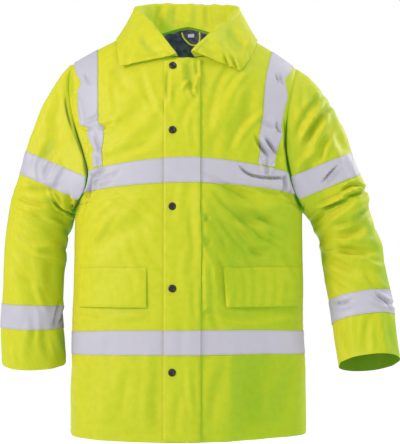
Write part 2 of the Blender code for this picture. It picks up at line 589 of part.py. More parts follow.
def sleeve_places(side):
    """Shares and rings of a sleeve's grid, and which columns the upper tape covers.

    The rows bend to follow both edges of the upper tape, which runs over the outer side only.
    """
    around = sleeve_rounds(side)
    tilt = np.radians(ARM_TAPE_TILT[side])
    normal = np.array([side * np.sin(tilt), 0.0, -np.cos(tilt)])
    top, bottom = (ring_at_plane(side, around, normal, offset) for offset in ARM_TAPE[side])
    top = np.maximum(top, ARM_TAPE_START)
    length = np.linalg.norm(sleeve(side, around, bottom) - sleeve(side, around, top), axis=1)
    kept = (bottom > top) & (length > ARM_TAPE_LEAST)
    top = np.where(kept, top, np.maximum(top, UNTAPED_RINGS[0]))
    bottom = np.where(kept, bottom, np.maximum(bottom, UNTAPED_RINGS[1]))
    wrist = [ring_at_height(side, height) for height in WRIST_TAPE[side]]
    marks = [np.zeros_like(around), top, bottom, np.full_like(around, wrist[0]), np.full_like(around, wrist[1]),
             np.full_like(around, len(SLEEVE[side]))]
    rows = [marks[0]]
    for start, end, cells in zip(marks[:-1], marks[1:], SLEEVE_CELLS):
        rows += [start + (end - start) * cell / cells for cell in range(1, cells + 1)]
    rings = np.stack(rows)
    return np.broadcast_to(around, rings.shape), rings, kept


# ---------------------------------------------------------------- making objects
def material(name, colour, roughness, metallic=0.0):
    made = bpy.data.materials.new(name)
    made.use_nodes = True
    shader = made.node_tree.nodes["Principled BSDF"]
    shader.inputs["Base Color"].default_value = (*colour, 1.0)
    shader.inputs["Roughness"].default_value = roughness
    shader.inputs["Metallic"].default_value = metallic
    made.diffuse_color = (*colour, 1.0)
    return made


def add_object(name, data, finish, collection):
    made = bpy.data.objects.new(name, data)
    data.materials.append(finish)
    collection.objects.link(made)
    return made


def turned_over(face):
    """The same quad facing the other way, still beginning at its first corner."""
    return face[0], face[3], face[2], face[1]


def grid_faces(rows, columns, closed, turned=False):
    """Quads of a grid of points in row order; a closed grid joins its last column to its first."""
    faces = []
    for row in range(rows - 1):
        for start in range(columns if closed else columns - 1):
            end = (start + 1) % columns
            face = (row * columns + start, row * columns + end, (row + 1) * columns + end, (row + 1) * columns + start)
            faces.append(turned_over(face) if turned else face)
    return faces


def rims(rows, columns, closed):
    """The grid's edges as closed loops of point numbers."""
    bottom = list(range(columns))
    top = [(rows - 1) * columns + start for start in range(columns)]
    if closed:
        return [bottom + bottom[:1], top + top[:1]]
    right = [row * columns + columns - 1 for row in range(1, rows - 1)]
    left = [row * columns for row in range(rows - 2, 0, -1)]
    return [bottom + right + top[::-1] + left + bottom[:1]]


def walled(name, outer, inner, finish, collection, closed=False):
    """A cloth piece between its outer and inner grids, closed along its edges."""
    rows, columns = outer.shape[:2]
    count = rows * columns
    faces = grid_faces(rows, columns, closed)
    faces += [turned_over([count + corner for corner in face]) for face in faces]
    for loop in rims(rows, columns, closed):
        faces += [(start, end, count + end, count + start) for start, end in zip(loop[:-1], loop[1:])]
    data = bpy.data.meshes.new(name)
    points = np.concatenate([outer.reshape(-1, 3), inner.reshape(-1, 3)])
    data.from_pydata(points.tolist(), [], faces)
    shape = bmesh.new()
    shape.from_mesh(data)
    bmesh.ops.recalc_face_normals(shape, faces=shape.faces)
    shape.to_mesh(data)
    shape.free()
    data.shade_smooth()
    data.set_sharp_from_angle(angle=np.radians(50))
    return add_object(name, data, finish, collection)


def sheet(name, points, wall, finish, collection, closed=False, turned=False):
    """A thin piece made by thickening one grid to its upper side, with the grid as its underside."""
    rows, columns = points.shape[:2]
    data = bpy.data.meshes.new(name)
    data.from_pydata(points.reshape(-1, 3).tolist(), [], grid_faces(rows, columns, closed, turned))
    data.shade_smooth()
    made = add_object(name, data, finish, collection)
    thicken = made.modifiers.new("Wall", "SOLIDIFY")
    thicken.thickness = wall
    thicken.offset = 1.0
    thicken.use_even_offset = True
    return made


# ---------------------------------------------------------------- the pieces
def make_panels(shell, collection):
    for name, side in (("front_right", RIGHT), ("front_left", LEFT)):
        outer = panel_grid(FRONT, side, PANEL_ROWS, PANEL_COLUMNS)
        inner = panel_grid(FRONT, side, PANEL_ROWS, PANEL_COLUMNS, -CLOTH_WALL)
        walled(name, outer, inner, shell, collection)
    walled("back", whole_back(PANEL_ROWS, PANEL_COLUMNS), whole_back(PANEL_ROWS, PANEL_COLUMNS, -CLOTH_WALL),
           shell, collection)


def make_sleeve(name, side, shell, collection):
    around, rings, _ = sleeve_places(side)
    outer = sleeve(side, around, rings)
    inner = outer - CLOTH_WALL * sleeve_normal(side, around, rings)
    inner[0] = armhole_edge(side, around[0], CLOTH_WALL)
    walled(name, outer, inner, shell, collection, closed=True)


def make_body_tapes(tape, collection):
    for place, rows in (("chest", CHEST_TAPE), ("hip", HIP_TAPE)):
        for name, side in (("right", RIGHT), ("left", LEFT)):
            grid = shortened(panel_grid(FRONT, side, rows, PANEL_COLUMNS, TAPE_LIFT), TAPE_SHORT)
            sheet(f"tape_{place}_front_{name}", grid, TAPE_WALL, tape, collection, turned=side < 0)
        grid = shortened(whole_back(rows, PANEL_COLUMNS, TAPE_LIFT), TAPE_SHORT)
        sheet(f"tape_{place}_back", grid, TAPE_WALL, tape, collection, turned=True)


def shortened(grid, amount):
    """A grid whose first and last columns are drawn in a little, to stay clear of a seam."""
    grid = grid.copy()
    for end, inside in ((0, 1), (-1, -2)):
        grid[:, end] += amount * unit(grid[:, inside] - grid[:, end])
    return grid


def make_sleeve_tapes(name, side, tape, collection):
    around, rings, kept = sleeve_places(side)
    grid = sleeve(side, around, rings) + TAPE_LIFT * sleeve_normal(side, around, rings)
    marks = np.cumsum(SLEEVE_CELLS)
    # The kept shares run over the outer side, from the back of the armhole to its front.
    order = np.argsort(np.mod(around[0] + 0.5, 1.0))
    upper = grid[marks[0]:marks[1] + 1, order[kept[order]]]
    sheet(f"tape_arm_{name}", upper, TAPE_WALL, tape, collection, turned=side < 0)
    lower = grid[marks[2]:marks[3] + 1]
    sheet(f"tape_wrist_{name}", lower, TAPE_WALL, tape, collection, closed=True, turned=side < 0)


def make_braces(tape, collection):
    for name, side in (("right", RIGHT), ("left", LEFT)):
        strips = []
        for face in (FRONT, BACK):
            rows = np.array(BRACE_ROWS if face == FRONT else BRACE_ROWS[-2::-1])
            inner = from_table(BRACE[side, face], BRACE_COLUMNS, "inner", rows)
            outer = from_table(BRACE[side, face], BRACE_COLUMNS, "outer", rows)
            out = np.linspace(inner, outer, BRACE_COLUMNS_ACROSS, axis=1)
            strips.append(body_point(face, side * out, np.broadcast_to(rows[:, None], out.shape), TAPE_LIFT))
        grid = np.concatenate(strips)
        sheet(f"tape_brace_{name}", grid, TAPE_WALL, tape, collection, turned=side < 0)


def make_storm_flap(shell, tape, collection):
    x = np.linspace(FLAP_FREE_X, FLAP_SEAM_X, 4)
    rises = np.array([row for row in PANEL_ROWS if row < FLAP_TOP_RISE - 0.02] + [FLAP_TOP_RISE])
    rises[0] += 0.004
    xs, levels = np.meshgrid(x, rises)
    sheet("storm_flap", body_point(FRONT, xs, levels, FLAP_LIFT), FLAP_WALL, shell, collection)
    over = FLAP_LIFT + FLAP_WALL + TAPE_LIFT / 2
    for place, rows in (("chest", CHEST_TAPE), ("hip", HIP_TAPE)):
        xs, levels = np.meshgrid(x, np.array(rows))
        sheet(f"tape_{place}_flap", body_point(FRONT, xs, levels, over), TAPE_WALL, tape, collection)


def make_pocket_flaps(shell, collection):
    for name, side in (("right", RIGHT), ("left", LEFT)):
        inner, outer, top, bottom = POCKET[side]
        out = np.linspace(inner, outer, POCKET_COLUMNS)
        heights = np.linspace(bottom, top, 4)
        outs, zs = np.meshgrid(out, heights)
        rises = rise_of(side, FRONT, outs, zs)
        share = (zs - bottom) / (top - bottom)
        lift = POCKET_LIFT_BOTTOM + (POCKET_LIFT_TOP - POCKET_LIFT_BOTTOM) * share
        grid = body_point(FRONT, side * outs, rises, lift)
        sheet(f"pocket_flap_{name}", grid, FLAP_WALL, shell, collection, turned=side < 0)


def neck_edge(ways):
    """Foot of the collar at each way along the neck seam, just off the straight edges of the panels."""
    corners = np.linspace(0, 4, 4 * NECK_CELLS + 1)
    points, normals = np.empty((len(corners), 3)), np.empty((len(corners), 3))
    for number, (side, face) in enumerate(((RIGHT, FRONT), (RIGHT, BACK), (LEFT, BACK), (LEFT, FRONT))):
        own = np.minimum(corners.astype(int), 3) == number
        share = corners[own] - number
        # Each quarter's share runs from the centre of the neckline to the shoulder.
        out, rise = neckline(face, share if number in (0, 2) else 1 - share)
        turn = turn_of(out, rise)
        points[own] = torso(face, side, turn, rise)
        normals[own] = torso_normal(face, side, turn, rise)
    off = unit(np.cross(unit(np.gradient(points, axis=0)), normals))
    off *= np.sign(np.sum(off * (NECK_MIDDLE - points), axis=1, keepdims=True))
    foot = points + off * COLLAR_FOOT_OFF - normals * COLLAR_FOOT_DEEP
    return np.stack([np.interp(ways, corners, foot[:, axis]) for axis in range(3)], axis=1)


def make_collar(shell, collection):
    ways = np.linspace(COLLAR[0][0], COLLAR[-1][0], COLLAR_CELLS + 1)
    crest, edge = (stacked(*(from_table(COLLAR, COLLAR_COLUMNS, f"{part}_{axis}", ways) for axis in "xyz"))
                   for part in ("crest", "edge"))
    foot = neck_edge(ways)
    up = unit(crest - foot)
    out = edge - crest
    out = unit(out - up * np.sum(out * up, axis=1, keepdims=True))
    inside = crest - up * ROLL_RADIUS
    turned = inside + out * 2 * ROLL_RADIUS
    profile = [foot, foot + (inside - foot) * 0.5, inside, crest + out * ROLL_RADIUS, turned]
    profile += [turned + (edge - turned) * share for share in (0.33, 0.67, 1.0)]
    grid = np.stack(profile)
    for row in range(4, len(profile)):
        grid[row] = clear_of_body(grid[row], FALL_CLEARANCE)
    sheet("collar", grid, COLLAR_WALL, shell, collection)


def make_lining(lining, collection):
    sag = LINING_DEEPER * np.clip(-2 * np.array(LINING_ROWS), 0, 1)[:, None, None]
    lift = -(CLOTH_WALL + LINING_LIFT + sag)
    outer = shortened(whole_back(LINING_ROWS, PANEL_COLUMNS, lift), LINING_SHORT)
    inner = shortened(whole_back(LINING_ROWS, PANEL_COLUMNS, lift - LINING_WALL), LINING_SHORT)
    walled("lining_back", outer, inner, lining, collection)


def inside_back(x, z, deeper):
    """Points inside the back of the neck, this much deeper than the lining's inner side."""
    side = np.where(np.asarray(x) < 0, RIGHT, LEFT)
    rise = np.array([float(rise_of(s, BACK, abs(px), pz)) for s, px, pz in zip(side, x, z)])
    return body_point(BACK, x, rise, -(CLOTH_WALL + LINING_LIFT + LINING_WALL + deeper))


def make_hanger_loop(shell, collection):
    knots = np.linspace(0, 1, len(LOOP))
    places = np.linspace(0, 1, LOOP_POINTS)
    x, z = (smooth(places, knots, column(LOOP, LOOP_COLUMNS, axis)) for axis in LOOP_COLUMNS)
    route = inside_back(x, z, LOOP_RADIUS + LOOP_GAP)
    cord = bpy.data.curves.new("hanger_loop", "CURVE")
    cord.dimensions = "3D"
    cord.bevel_depth = LOOP_RADIUS
    cord.bevel_resolution = 2
    cord.use_fill_caps = True
    line = cord.splines.new("POLY")
    line.points.add(len(route) - 1)
    for point, place in zip(line.points, route):
        point.co = (*place, 1.0)
    add_object("hanger_loop", cord, shell, collection)


def make_snaps(finish, collection):
    """Five domed caps with a ring round the middle, turned about the snap's axis."""
    r, h = SNAP_RADIUS, SNAP_HEIGHT
    profile = ((0.0, 0.72 * h), (0.48 * r, 0.72 * h), (0.60 * r, h), (0.82 * r, 0.9 * h), (r, 0.45 * h),
               (r, 0.0), (0.0, 0.0))
    data = bpy.data.meshes.new("snap")
    data.from_pydata([(x, 0.0, z) for x, z in profile], [(i, i + 1) for i in range(len(profile) - 1)], [])
    data.materials.append(finish)
    for number, height in enumerate(SNAP_HEIGHTS, start=1):
        rise = rise_of(RIGHT, FRONT, abs(SNAP_X), height)
        turn = turn_of(abs(SNAP_X), rise)
        normal = Vector(torso_normal(FRONT, RIGHT, turn, rise))
        seat = body_point(FRONT, np.array([SNAP_X]), np.array([float(rise)]), FLAP_LIFT + FLAP_WALL + SNAP_GAP)[0]
        snap = bpy.data.objects.new(f"snap_{number}", data)
        collection.objects.link(snap)
        snap.location = Vector(seat)
        snap.rotation_euler = normal.to_track_quat("Z", "Y").to_euler()
        turned = snap.modifiers.new("Turned", "SCREW")
        turned.axis = "Z"
        turned.steps = turned.render_steps = SNAP_STEPS
        turned.use_merge_vertices = True
        turned.merge_threshold = 0.00001
        turned.use_smooth_shade = True


def main():
    for stale in list(bpy.data.objects):
        bpy.data.objects.remove(stale, do_unlink=True)
    collection = bpy.data.collections.new("hi_vis_work_jacket")
    bpy.context.scene.collection.children.link(collection)
    shell = material("fluorescent_yellow_shell", (0.60, 0.70, 0.03), 0.62)
    tape = material("silver_reflective_tape", (0.55, 0.55, 0.62), 0.42)
    lining = material("navy_lining", (0.02, 0.022, 0.04), 0.45)
    snap = material("black_snap_cap", (0.025, 0.025, 0.028), 0.35)
    make_panels(shell, collection)
    for name, side in (("right", RIGHT), ("left", LEFT)):
        make_sleeve(f"sleeve_{name}", side, shell, collection)
        make_sleeve_tapes(name, side, tape, collection)
    make_body_tapes(tape, collection)
    make_braces(tape, collection)
    make_storm_flap(shell, tape, collection)
    make_pocket_flaps(shell, collection)
    make_collar(shell, collection)
    make_lining(lining, collection)
    make_hanger_loop(shell, collection)
    make_snaps(snap, collection)


main()
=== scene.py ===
"""Looks of the hi-vis work jacket.

A hip-length jacket of coated fluorescent yellow oxford, filled out as it hangs from the
shoulders: fronts, back, sleeves, fall collar, storm flap with snaps, pocket flaps, silver
reflective bands and braces, and the dark lining that shows in the neck. Every shell here lies
on the form of its solid and carries the smaller creases, seams and stitches of the cloth.
"""

from __future__ import annotations

import json
import logging
import math
from collections.abc import Callable, Sequence
from dataclasses import dataclass
from enum import Enum, IntEnum

import bmesh
import bpy
import numpy as np
from mathutils import Vector
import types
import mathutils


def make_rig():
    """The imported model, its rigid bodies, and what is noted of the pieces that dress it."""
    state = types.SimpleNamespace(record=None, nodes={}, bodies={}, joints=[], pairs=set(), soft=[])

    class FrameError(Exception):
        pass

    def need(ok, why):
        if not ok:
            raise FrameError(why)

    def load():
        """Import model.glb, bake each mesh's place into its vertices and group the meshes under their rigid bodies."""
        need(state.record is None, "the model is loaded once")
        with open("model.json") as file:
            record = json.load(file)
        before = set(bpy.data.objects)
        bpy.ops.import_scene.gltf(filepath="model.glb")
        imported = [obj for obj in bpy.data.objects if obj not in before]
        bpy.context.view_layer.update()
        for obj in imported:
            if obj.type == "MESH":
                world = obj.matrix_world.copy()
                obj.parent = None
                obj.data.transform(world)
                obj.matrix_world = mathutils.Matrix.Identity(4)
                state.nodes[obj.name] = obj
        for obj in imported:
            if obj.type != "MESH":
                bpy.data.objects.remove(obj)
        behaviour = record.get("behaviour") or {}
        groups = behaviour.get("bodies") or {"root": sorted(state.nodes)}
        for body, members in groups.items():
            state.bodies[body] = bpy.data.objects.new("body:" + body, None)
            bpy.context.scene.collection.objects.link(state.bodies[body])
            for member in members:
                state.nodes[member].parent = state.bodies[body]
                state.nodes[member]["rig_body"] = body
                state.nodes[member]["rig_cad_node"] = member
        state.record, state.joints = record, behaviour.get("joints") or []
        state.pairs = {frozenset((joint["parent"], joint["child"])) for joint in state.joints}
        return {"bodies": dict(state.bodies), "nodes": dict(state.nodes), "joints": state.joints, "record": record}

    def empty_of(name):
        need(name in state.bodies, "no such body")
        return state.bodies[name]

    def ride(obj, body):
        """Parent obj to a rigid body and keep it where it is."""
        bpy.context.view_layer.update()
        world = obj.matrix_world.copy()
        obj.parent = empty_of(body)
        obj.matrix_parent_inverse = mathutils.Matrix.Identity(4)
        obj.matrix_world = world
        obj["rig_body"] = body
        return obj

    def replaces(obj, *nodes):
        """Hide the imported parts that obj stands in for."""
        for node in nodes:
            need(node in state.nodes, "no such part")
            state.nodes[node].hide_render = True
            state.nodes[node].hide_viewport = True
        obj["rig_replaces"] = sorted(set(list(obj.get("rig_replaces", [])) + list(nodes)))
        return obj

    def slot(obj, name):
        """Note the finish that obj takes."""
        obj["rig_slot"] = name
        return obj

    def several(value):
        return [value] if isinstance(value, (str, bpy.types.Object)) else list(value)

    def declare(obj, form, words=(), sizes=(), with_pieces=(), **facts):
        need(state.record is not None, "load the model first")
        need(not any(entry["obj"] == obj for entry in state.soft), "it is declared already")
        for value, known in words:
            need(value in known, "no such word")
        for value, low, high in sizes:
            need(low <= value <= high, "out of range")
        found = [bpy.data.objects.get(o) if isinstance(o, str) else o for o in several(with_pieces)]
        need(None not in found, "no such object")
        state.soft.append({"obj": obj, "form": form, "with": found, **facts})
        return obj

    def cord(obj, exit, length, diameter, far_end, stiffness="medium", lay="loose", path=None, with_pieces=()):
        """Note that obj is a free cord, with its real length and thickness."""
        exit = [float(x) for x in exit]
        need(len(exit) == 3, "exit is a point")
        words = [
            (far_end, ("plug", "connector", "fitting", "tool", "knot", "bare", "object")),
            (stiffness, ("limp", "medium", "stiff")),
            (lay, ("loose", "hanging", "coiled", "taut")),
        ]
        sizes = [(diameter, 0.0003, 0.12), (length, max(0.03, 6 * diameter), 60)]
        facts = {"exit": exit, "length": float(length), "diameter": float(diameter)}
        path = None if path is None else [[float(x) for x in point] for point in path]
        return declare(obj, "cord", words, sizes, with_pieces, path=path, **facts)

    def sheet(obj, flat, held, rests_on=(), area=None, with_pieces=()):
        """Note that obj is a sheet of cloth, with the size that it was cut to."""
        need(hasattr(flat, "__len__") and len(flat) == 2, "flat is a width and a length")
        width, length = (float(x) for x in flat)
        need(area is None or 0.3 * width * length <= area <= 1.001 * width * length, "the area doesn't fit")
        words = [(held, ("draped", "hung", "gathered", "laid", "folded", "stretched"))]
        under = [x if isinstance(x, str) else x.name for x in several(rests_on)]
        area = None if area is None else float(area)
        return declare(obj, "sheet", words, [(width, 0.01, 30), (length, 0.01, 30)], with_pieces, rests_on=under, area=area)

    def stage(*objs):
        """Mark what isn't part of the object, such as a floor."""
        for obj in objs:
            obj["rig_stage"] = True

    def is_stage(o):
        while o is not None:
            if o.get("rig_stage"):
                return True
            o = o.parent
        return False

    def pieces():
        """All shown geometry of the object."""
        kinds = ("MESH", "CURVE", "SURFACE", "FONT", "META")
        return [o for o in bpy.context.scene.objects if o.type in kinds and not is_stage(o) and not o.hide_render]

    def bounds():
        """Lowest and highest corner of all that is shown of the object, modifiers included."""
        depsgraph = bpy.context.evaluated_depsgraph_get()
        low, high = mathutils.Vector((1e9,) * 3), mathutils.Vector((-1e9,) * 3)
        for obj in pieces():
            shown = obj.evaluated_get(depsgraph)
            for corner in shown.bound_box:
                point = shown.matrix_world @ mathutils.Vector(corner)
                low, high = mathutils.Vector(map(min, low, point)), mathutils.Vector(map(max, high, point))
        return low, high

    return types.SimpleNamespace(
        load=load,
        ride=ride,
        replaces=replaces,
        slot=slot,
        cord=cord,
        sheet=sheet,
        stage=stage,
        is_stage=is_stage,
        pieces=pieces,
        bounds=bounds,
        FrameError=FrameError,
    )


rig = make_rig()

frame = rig.load()
CAD_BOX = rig.bounds()

LOG = logging.getLogger("jacket")
Array = np.ndarray
SHARP_EDGE = math.radians(55)


class Face(IntEnum):
    """Which face of the body, as the sign of Y."""

    FRONT = -1
    BACK = 1


class Side(IntEnum):
    """The wearer's right or left, as the sign of X."""

    RIGHT = -1
    LEFT = 1


class Slot(Enum):
    """The record's material slots."""

    SHELL = "fluorescent_yellow_shell"
    TAPE = "silver_reflective_tape"
    LINING = "navy_lining"
    SNAP = "black_snap_cap"


# ---------------------------------------------------------------- numbers and tables
@dataclass(frozen=True)
class Table:
    """Rows of sizes with named columns."""

    columns: tuple[str, ...]
    rows: tuple[tuple[float, ...], ...]

    def column(self, name: str) -> Array:
        """One column as an array."""
        place = self.columns.index(name)
        return np.array([row[place] for row in self.rows])

    def read(self, name: str, at: Array | float) -> Array:
        """A column read smoothly at places along the first column."""
        return smooth(at, self.column(self.columns[0]), self.column(name))


def smooth(at: Array | float, knots: Array, values: Array) -> Array:
    """A smooth curve through knots and values.

    Args:
        at: Where it is read.
        knots: Rising places of the known values.
        values: The known values.

    Returns:
        The curve's values at the places asked for.
    """
    at = np.clip(np.asarray(at, float), knots[0], knots[-1])
    slopes = np.gradient(values, knots)
    left = np.clip(np.searchsorted(knots, at, side="right") - 1, 0, len(knots) - 2)
    span = knots[left + 1] - knots[left]
    t = (at - knots[left]) / span
    return (values[left] * (2 * t**3 - 3 * t**2 + 1) + values[left + 1] * (3 * t**2 - 2 * t**3)
            + span * (slopes[left] * (t**3 - 2 * t**2 + t) + slopes[left + 1] * (t**3 - t**2)))


def unit(vectors: Array) -> Array:
    """The same directions with length 1."""
    return vectors / np.maximum(np.linalg.norm(vectors, axis=-1, keepdims=True), 1e-12)


def stacked(x: Array, y: Array, z: Array) -> Array:
    """Three coordinates as one array of points."""
    return np.stack(np.broadcast_arrays(x, y, z), axis=-1)


def split_rows(start: float, end: float, steps: tuple[float, float]) -> Array:
    """Rising numbers through 0, with one largest gap below it and another above."""
    return np.concatenate([refined((start, 0.0), steps[0]), refined((0.0, end), steps[1])[1:]])


def bell(distance: Array, width: float) -> Array:
    """1 at distance 0, falling softly to nearly 0 at twice the width."""
    return np.exp(-(distance / width)**2)


def ease(value: Array, start: float, end: float) -> Array:
    """0 before start, 1 after end, and smooth between."""
    t = np.clip((value - start) / (end - start), 0, 1)
    return t * t * (3 - 2 * t)


def refined(marks: Sequence[float], step: float) -> Array:
    """Rising numbers through all the marks, no further apart than the step.

    Args:
        marks: Numbers that have to be in the result, rising.
        step: The largest gap.

    Returns:
        The marks with evenly spaced numbers between them.
    """
    parts = [np.array([marks[0]])]
    for start, end in zip(marks[:-1], marks[1:]):
        cells = max(1, math.ceil((end - start) / step - 1e-9))
        parts.append(np.linspace(start, end, cells + 1)[1:])
    return np.concatenate(parts)


def path_lengths(points: Array) -> Array:
    """How far along a path each of its points lies."""
    return np.concatenate([[0], np.cumsum(np.linalg.norm(np.diff(points, axis=0), axis=1))])


def along_path(places: Array | list[float], lengths: Array, points: Array) -> Array:
    """Points at places along a path, whose own points lie at rising lengths."""
    return np.stack([np.interp(places, lengths, points[:, axis]) for axis in range(3)], axis=1)


def rumple(points: Array, size: float, seed: int) -> Array:
    """Smooth uneven numbers from about -1 to 1 through space.

    Args:
        points: Points, in metres.
        size: Typical distance from one swell to the next, in metres.
        seed: Which pattern.

    Returns:
        One number for each point.
    """
    dice = np.random.default_rng(seed)
    total = np.zeros(points.shape[:-1])
    for _ in range(7):
        direction = unit(dice.normal(size=3)) * 2 * np.pi / (size * dice.uniform(0.7, 1.5))
        total += np.sin(points @ direction + dice.uniform(0, 2 * np.pi))
    return total / 3.0


# ---------------------------------------------------------------- creases
@dataclass(frozen=True)
class Chart:
    """Creases laid out on a squared sheet in front of the jacket, or behind it.

    Columns of the sheet count across to the wearer's left and rows count down. A crease has its
    middle, the way it runs in degrees below level, half its length and half its width in squares,
    its height in millimetres (minus for a trough) and how far its middle bows, in squares.
    """

    front: tuple[tuple[float, ...], ...] = ()
    back: tuple[tuple[float, ...], ...] = ()
    gain: float = 3.0
    square: float = 0.0021641
    middle_column: float = 188.0
    eye: tuple[float, float, float] = (0.026, -2.4, -0.519)
    eye_row: float = 270.0
    turning: tuple[float, float] = (-0.3, 0.25)    # how cloth faces where the front sheet takes over
    front_half: tuple[float, float] = (0.04, 0.01)    # depths where a cover fades
    bow_middle: float = 0.3
    lip: tuple[float, float, float] = (0.32, 1.75, 0.8)    # depth, distance and width, in widths

    def seen_at(self, points: Array) -> tuple[Array, Array]:
        """Column and row of the front sheet that lie before points, as the eye sees them."""
        reach = -self.eye[1] / (points[..., 1] - self.eye[1])
        return (self.middle_column + (self.eye[0] + (points[..., 0] - self.eye[0]) * reach) / self.square,
                self.eye_row - (points[..., 2] - self.eye[2]) * reach / self.square)

    def lift(self, points: Array, normals: Array) -> Array:
        """Height of the creases over the cloth.

        Args:
            points: Points of the cloth.
            normals: The way it faces there.

        Returns:
            Heights in metres, along the normals.
        """
        shows = ease(-normals[..., 1], *self.turning)
        height = self.total(self.front, *self.seen_at(points)) * shows
        column = self.middle_column + points[..., 0] / self.square
        row = self.eye_row - (points[..., 2] - self.eye[2]) / self.square
        return self.gain * (height + self.total(self.back, column, row) * (1 - shows))

    def cover(self, points: Array) -> Array:
        """How strongly the front rows cover points, from 0 to 1, with heights read as strengths."""
        strength = 1000 * self.total(self.front, *self.seen_at(points))
        return np.clip(strength, 0, 1) * ease(points[..., 1], *self.front_half)

    def total(self, creases: tuple[tuple[float, ...], ...], column: Array, row: Array) -> Array:
        """Sum of creases at places on the sheet.

        Args:
            creases: Rows of the chart.
            column: Places across.
            row: Places down.

        Returns:
            Heights in metres.
        """
        height = np.zeros(column.shape)
        depth, off, spread = self.lip
        for x, y, turn, length, width, rise, bow in creases:
            cos, sin = math.cos(math.radians(turn)), math.sin(math.radians(turn))
            along = ((column - x) * cos + (row - y) * sin) / length
            across = ((row - y) * cos - (column - x) * sin + bow * (along**2 - self.bow_middle)) / width
            near = (np.abs(along) < 1.6) & (np.abs(across) < 4)
            # A trough has a soft lip on both sides, and a ridge a soft foot.
            shape = bell(across[near], 1) - depth * bell(np.abs(across[near]) - off, spread)
            height[near] += rise * 0.001 * shape * np.exp(-along[near]**4)
        return height


# ---------------------------------------------------------------- the form of the body
@dataclass(frozen=True)
class Fold:
    """A large soft fold: its middle, turn from level in degrees, reach, width and height.

    The middle is across and up on the body, and a share round and a ring on a sleeve.
    """

    across: float
    up: float
    turn: float
    reach: float
    width: float
    height: float

    def over(self, level: Array, climb: Array) -> Array:
        """Height of the fold at places on the cloth.

        Args:
            level: Distances from its middle, level.
            climb: Distances from its middle, upwards.

        Returns:
            The heights.
        """
        cos, sin = math.cos(math.radians(self.turn)), math.sin(math.radians(self.turn))
        along, across = level * cos + climb * sin, climb * cos - level * sin
        return self.height * np.exp(-(across / self.width)**2 - (along / self.reach)**4)


